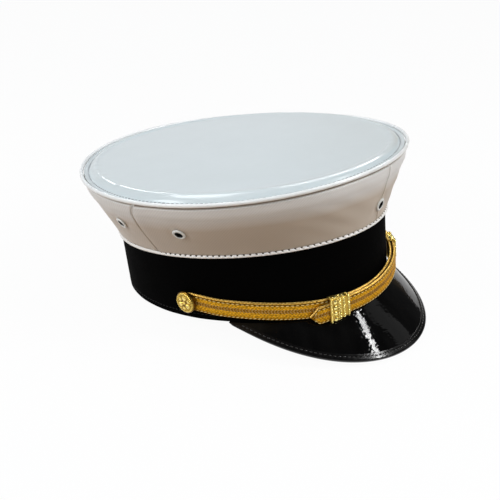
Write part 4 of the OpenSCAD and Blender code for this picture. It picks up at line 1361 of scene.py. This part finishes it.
def add_camera():
    data = bpy.data.cameras.new("photo_camera")
    data.sensor_width = SENSOR
    data.lens = FOCAL_PX / PICTURE_PX * SENSOR
    data.clip_start = 0.01
    ahead = unit(CAMERA_AIM - CAMERA_AT)
    level = unit(np.cross(ahead, [0, 0, 1.0]))
    top = np.cross(level, ahead)
    roll = math.radians(CAMERA_ROLL)
    right = math.cos(roll) * level + math.sin(roll) * top
    axes = turned(np.stack([right, np.cross(right, ahead), -ahead]))
    camera = linked("photo_camera", data)
    camera.matrix_world = Matrix.Translation(Vector(placed(CAMERA_AT))) @ Matrix(axes.T.tolist()).to_4x4()
    bpy.context.scene.camera = camera


# Light: a dome over a warm floor, a key at the left, a panel overhead, a soft fill, strips along the
# crown's ridge and a window that the visor mirrors. Lamps are in metres in the row frame, apart from
# the window, which is placed from the visor in the cap's frame.
WHITE = (1.0, 1.0, 1.0)
COOL = (0.95, 0.98, 1.0)
DOME_LOW = (0.24, 0.24, 0.24)
DOME_HIGH = (0.42, 0.45, 0.48)
DARK_ROOM = (0.06, 0.06, 0.06)
WARM_ROOM = (0.4, 0.29, 0.17)
FLOOR_WARM = (0.37, 0.245, 0.15)
FLOOR_PALE = (0.96, 0.96, 0.96)
FLOOR_GLOW = 0.95
FLOOR_REACH = 6.0
CAP_MIDDLE = (0, 0, 0.08)
CROWN_MIDDLE = (0, 0, 0.1)
WINDOW_FROM = np.array([-25.0, -111.0, -12.0])
WINDOW_WAY = np.array([0.275, -0.75, 0.602])
PANE_WAY = np.array([0.63, -0.62, 0.46])
WINDOW_AWAY = 1100.0
WINDOW_ROLL = -45.0
STRIP_ROLL = -30.0


def area_light(name, place, aim, size, power, colour, glossy=True, diffuse=True, roll=0.0):
    data = bpy.data.lights.new(name, "AREA")
    data.shape = "RECTANGLE"
    data.size, data.size_y = size
    data.energy = power
    data.color = colour
    light = linked(name, data)
    light.visible_glossy = glossy
    light.visible_diffuse = diffuse
    light.location = place
    way = Vector(aim) - Vector(place)
    turn = Quaternion((0, 0, 1), math.radians(roll))
    light.rotation_euler = (way.to_track_quat("-Z", "Y") @ turn).to_euler()


def sky(nodes, axis, low, high, *colours):
    """A background that runs through evenly spaced colours along one axis of the room."""
    along = nodes.split(nodes.node("TexCoord").outputs["Generated"])[axis]
    span = nodes.node("MapRange", Value=along, From_Min=low, From_Max=high).outputs["Result"]
    stops = [(k / (len(colours) - 1), colour) for k, colour in enumerate(colours)]
    return nodes.node("Background", nodes.ramp(span, *stops)).outputs[0]


def studio_world():
    """A soft dome, brighter overhead. The camera sees white; gloss sees white behind the cap
    and a dark room in front of it."""
    world = bpy.data.worlds.new("studio")
    bpy.context.scene.world = world
    world.use_nodes = True
    world.node_tree.nodes.clear()
    nodes = Nodes(world.node_tree)
    dome_light = sky(nodes, 2, 0.0, 0.75, DOME_LOW, DOME_HIGH)
    room = sky(nodes, 1, -0.15, 0.6, DARK_ROOM, WARM_ROOM, WHITE)
    white = nodes.node("Background", (*WHITE, 1)).outputs[0]
    gloss = nodes.blend(nodes.seen_by("Is Glossy Ray", "Is Transmission Ray"), dome_light, room)
    nodes.node("OutputWorld", nodes.blend(nodes.seen_by("Is Camera Ray"), gloss, white))


def studio_floor():
    """A pale floor that keeps a light shadow, and throws a warm tone up at the crown's wall."""
    mesh = bpy.data.meshes.new("studio_floor")
    corners = [(FLOOR_REACH * x, FLOOR_REACH * y, 0) for x, y in ((-1, -1), (1, -1), (1, 1), (-1, 1))]
    mesh.from_pydata(corners, [], [(0, 1, 2, 3)])
    look = bpy.data.materials.new("pale_floor")
    look.use_nodes = True
    look.cycles.emission_sampling = "NONE"
    look.node_tree.nodes.clear()
    nodes = Nodes(look.node_tree)
    warm = nodes.node("BsdfDiffuse", (*FLOOR_WARM, 1)).outputs[0]
    pale = nodes.node("BsdfDiffuse", (*FLOOR_PALE, 1)).outputs[0]
    shown = nodes.blend(FLOOR_GLOW, pale, nodes.node("Emission", (*WHITE, 1)).outputs[0])
    seen = nodes.seen_by("Is Camera Ray", "Is Glossy Ray", "Is Transmission Ray")
    nodes.node("OutputMaterial", nodes.blend(seen, warm, shown))
    mesh.materials.append(look)
    linked("studio_floor", mesh)


add_camera()
studio_world()
studio_floor()
visor_spot = tuple(placed(WINDOW_FROM))
window_place = tuple(placed(WINDOW_FROM + WINDOW_AWAY * WINDOW_WAY))
pane_place = tuple(placed(WINDOW_FROM + WINDOW_AWAY * PANE_WAY))
area_light("window", window_place, visor_spot, (0.085, 0.5), 11.5, WHITE, diffuse=False, roll=WINDOW_ROLL)
area_light("window_fill", window_place, visor_spot, (0.3, 0.5), 4.5, WHITE, glossy=False)
area_light("window_pane", pane_place, visor_spot, (0.25, 0.5), 0.2, WHITE)
area_light("key", (-1.05, 0.65, 0.75), CAP_MIDDLE, (0.5, 0.5), 7.5, (0.96, 0.98, 1.0))
area_light("overhead", (-0.05, 0.6, 1.2), CAP_MIDDLE, (0.7, 0.5), 8.0, COOL, diffuse=False)
area_light(
    "ridge_strip", (0.77, 0.27, 0.91), CROWN_MIDDLE, (0.1, 0.7), 6.0, WHITE, diffuse=False, roll=STRIP_ROLL
)
area_light("rear_strip", (0.47, 1.05, 0.69), CROWN_MIDDLE, (0.12, 0.4), 2.0, WHITE, diffuse=False)
area_light("soft_fill", (-0.9, -0.9, 0.9), CAP_MIDDLE, (1.2, 1.2), 4.0, (1.0, 0.98, 0.95), glossy=False)
bpy.context.scene.view_settings.view_transform = "Standard"
